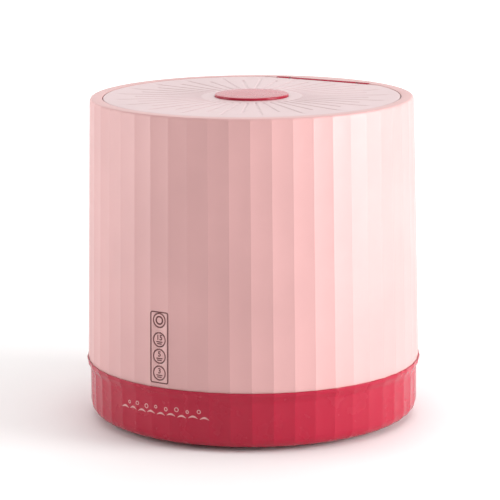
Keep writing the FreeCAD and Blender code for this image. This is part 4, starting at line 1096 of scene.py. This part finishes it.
def stopper():
    head = 126.1
    plug = spin("stopper", [
        (0, NICHE_Y, 0), (4.2, NICHE_Y, 0.6), (4.7, 116, 1), (4.7, head + 0.2, 0),
        (6.6, head, 0.3), (6.6, head + 1.9, 0.6), (0, head + 2.0, 0),
    ], 56, 4)
    point_back(plug, DRAIN_X, PORT_Z)
    grip = slab("grip", (DRAIN_X - 1.3, head + 1, PORT_Z - 5), (DRAIN_X + 1.3, head + 4.9, PORT_Z + 5), 1.0)
    hole = point_back(rods("grip_hole", 0.9, -3, 3, [(0, 0)], 20), 0, 0)
    turn(hole, 90, "Z")
    combine(grip, move(hole, DRAIN_X, head + 3.2, PORT_Z))
    return combine(plug, grip, "UNION")


def inlet_socket():
    socket = spin("inlet_socket", [
        (0, 100, 0), (4.95, 100, 0), (4.95, NICHE_Y + 0.2, 0), (5.6, NICHE_Y + 0.25, 0.2),
        (5.4, NICHE_Y + 1.45, 0.4), (2.75, NICHE_Y + 1.5, 0.3), (2.75, 104, 0),
        (1.0, 104, 0), (1.0, 113, 0.4), (0, 113, 0),
    ], 48, 3)
    point_back(socket, -DRAIN_X, PORT_Z)
    body = slab("inlet_body", (-DRAIN_X - 6, 95, PORT_Z - 6.2), (-DRAIN_X + 6, 103, PORT_Z + 5.5), 0.4)
    return combine(body, socket, "UNION")


# ---- put everything on its body ----

def build():
    paint_frame()
    fit(barrel_shell(), "housing", "pink_shell", "outer_barrel")
    fit(base_shell(), "housing", "red_shell", "base_pan")
    fit(top_ring_shell(), "housing", "pink_shell", "top_ring")
    fit(panel_film(), "housing", "key_pink", "control_panel")
    fit(panel_outline(), "housing", "trim_brown", "panel_trim")
    fit(ornament(), "housing", "key_pink")
    fit(tub_shell(), "housing", "tub_white", "wash_tub")
    fit(hinge_ears(), "housing", "red_shell", "hinge_bracket")
    fit(hinge_rod(), "housing", "shaft_steel", "hinge_pin")
    fit(foot_pads(), "housing", "foot_rubber", "rubber_feet")
    fit(spigot_pipe(), "housing", "black_plastic", "drain_spigot")
    fit(inlet_socket(), "housing", "black_plastic", "dc_inlet")
    fit(lid_top(), "lid", "lid_pink", "lid_cover")
    fit(lid_button(), "lid", "red_shell", "lid_disc")
    fit(liner_plate(), "lid", "liner_white", "lid_liner")
    fit(gasket(), "lid", "soft_white", "lid_gasket")
    fit(hinge_leaf(), "lid", "red_shell", "lid_hinge_barrel")
    fit(pulsator_dish(), "pulsator", "tub_white", "pulsator")
    fit(pulsator_knob(), "pulsator", "red_shell", "pulsator_cap")
    fit(stopper(), "drain_plug", "soft_grey", "drain_plug")
    for key in KEYS:
        fit(key_cap(key), key, "key_pink", key)
        fit(key_marks(key), key, "trim_brown")


# ---- floor, light and camera ----

# Degrees, metres and millimetres of focal length; yaw is what the camera turns past facing the object's axis
CAMERA_AZIMUTH = 33.0
CAMERA_DISTANCE = 2.0376
CAMERA_HEIGHT = 0.5427
CAMERA_YAW = 0.063
CAMERA_TILT = 11.33
CAMERA_ROLL = -0.395
CAMERA_LENS = 183.56
LIGHT_AIM_Z = 0.13
WORLD_NEAR = 0.52
WORLD_FAR = 1.45


def around_object(azimuth, distance, height):
    """A place round the object: azimuth in degrees from the camera's side, metres."""
    angle = math.radians(FRONT + CAMERA_AZIMUTH + azimuth)
    return Vector((distance * math.cos(angle), distance * math.sin(angle), height))


def floor():
    look = Look("studio_floor")
    tone = look.ramp(look.noise(3, 4), (0.86, 0.86, 0.86), (0.90, 0.90, 0.90))
    look.link(tone, look.shader.inputs["Base Color"])
    look.link(look.spread(look.noise(40), 0.6, 0.75), look.shader.inputs["Roughness"])
    distance = look.node("ShaderNodeVectorMath", operation="LENGTH")
    look.link(look.place(), distance.inputs[0])
    glow = look.spread(distance.outputs["Value"], 0.0, 0.6)
    glow.node.inputs["From Min"].default_value = 0.3
    glow.node.inputs["From Max"].default_value = 2.0
    look.shader.inputs["Emission Color"].default_value = (1, 1, 1, 1)
    look.link(glow, look.shader.inputs["Emission Strength"])
    ground = skin("studio_floor", [[(0, 0, -0.05)]] + [
        [polar(r, 6 * i, -0.05) for i in range(60)] for r in (200, 1000, 4000, 14000)
    ])
    ground.data.materials.append(look.material)


def soft_light(name, azimuth, distance, height, size, strength):
    light = bpy.data.lights.new(name, "AREA")
    light.shape = "DISK"
    light.size = size
    light.energy = strength
    obj = linked(name, light)
    obj.location = around_object(azimuth, distance, height)
    aim = Vector((0, 0, LIGHT_AIM_Z)) - obj.location
    obj.rotation_euler = aim.to_track_quat("-Z", "Y").to_euler()
    obj.visible_camera = False


def studio():
    """A pale room, brighter on the far side, with three soft lamps and a plain backdrop for the camera."""
    world = bpy.data.worlds.new("studio")
    bpy.context.scene.world = world
    world.use_nodes = True
    tree = world.node_tree
    shine = tree.nodes["Background"]
    shine.inputs["Color"].default_value = (1.0, 0.985, 0.98, 1)
    sky = tree.nodes.new("ShaderNodeTexCoord")
    towards = tree.nodes.new("ShaderNodeVectorMath")
    towards.operation = "DOT_PRODUCT"
    towards.inputs[1].default_value = -around_object(0, 1.0, 0.0)
    tree.links.new(sky.outputs["Generated"], towards.inputs[0])
    level = tree.nodes.new("ShaderNodeMapRange")
    level.interpolation_type = "SMOOTHSTEP"
    level.inputs["From Min"].default_value = 0.1
    level.inputs["From Max"].default_value = 0.95
    level.inputs["To Min"].default_value = WORLD_NEAR
    level.inputs["To Max"].default_value = WORLD_FAR
    tree.links.new(towards.outputs["Value"], level.inputs["Value"])
    tree.links.new(level.outputs["Result"], shine.inputs["Strength"])
    backdrop = tree.nodes.new("ShaderNodeBackground")
    backdrop.inputs["Color"].default_value = (1, 1, 1, 1)
    backdrop.inputs["Strength"].default_value = 1.0
    path = tree.nodes.new("ShaderNodeLightPath")
    mix = tree.nodes.new("ShaderNodeMixShader")
    tree.links.new(path.outputs["Is Camera Ray"], mix.inputs["Fac"])
    tree.links.new(shine.outputs["Background"], mix.inputs[1])
    tree.links.new(backdrop.outputs["Background"], mix.inputs[2])
    tree.links.new(mix.outputs["Shader"], tree.nodes["World Output"].inputs["Surface"])
    soft_light("key", azimuth=70, distance=1.5, height=0.45, size=0.9, strength=27)
    soft_light("left_fill", azimuth=-90, distance=1.5, height=0.4, size=1.1, strength=11)
    soft_light("top", azimuth=60, distance=0.3, height=1.7, size=1.4, strength=8)


def camera():
    data = bpy.data.cameras.new("camera")
    data.lens = CAMERA_LENS
    data.sensor_width = 36.0
    data.clip_end = 100
    obj = linked("camera", data)
    obj.matrix_world = (
        Matrix.Translation(around_object(0, CAMERA_DISTANCE, CAMERA_HEIGHT))
        @ Matrix.Rotation(math.radians(CAMERA_AZIMUTH + CAMERA_YAW), 4, "Z")
        @ Matrix.Rotation(math.radians(90 - CAMERA_TILT), 4, "X")
        @ Matrix.Rotation(math.radians(CAMERA_ROLL), 4, "Z")
    )
    bpy.context.scene.camera = obj


build()
floor()
studio()
camera()
bpy.context.scene.view_settings.view_transform = "Standard"
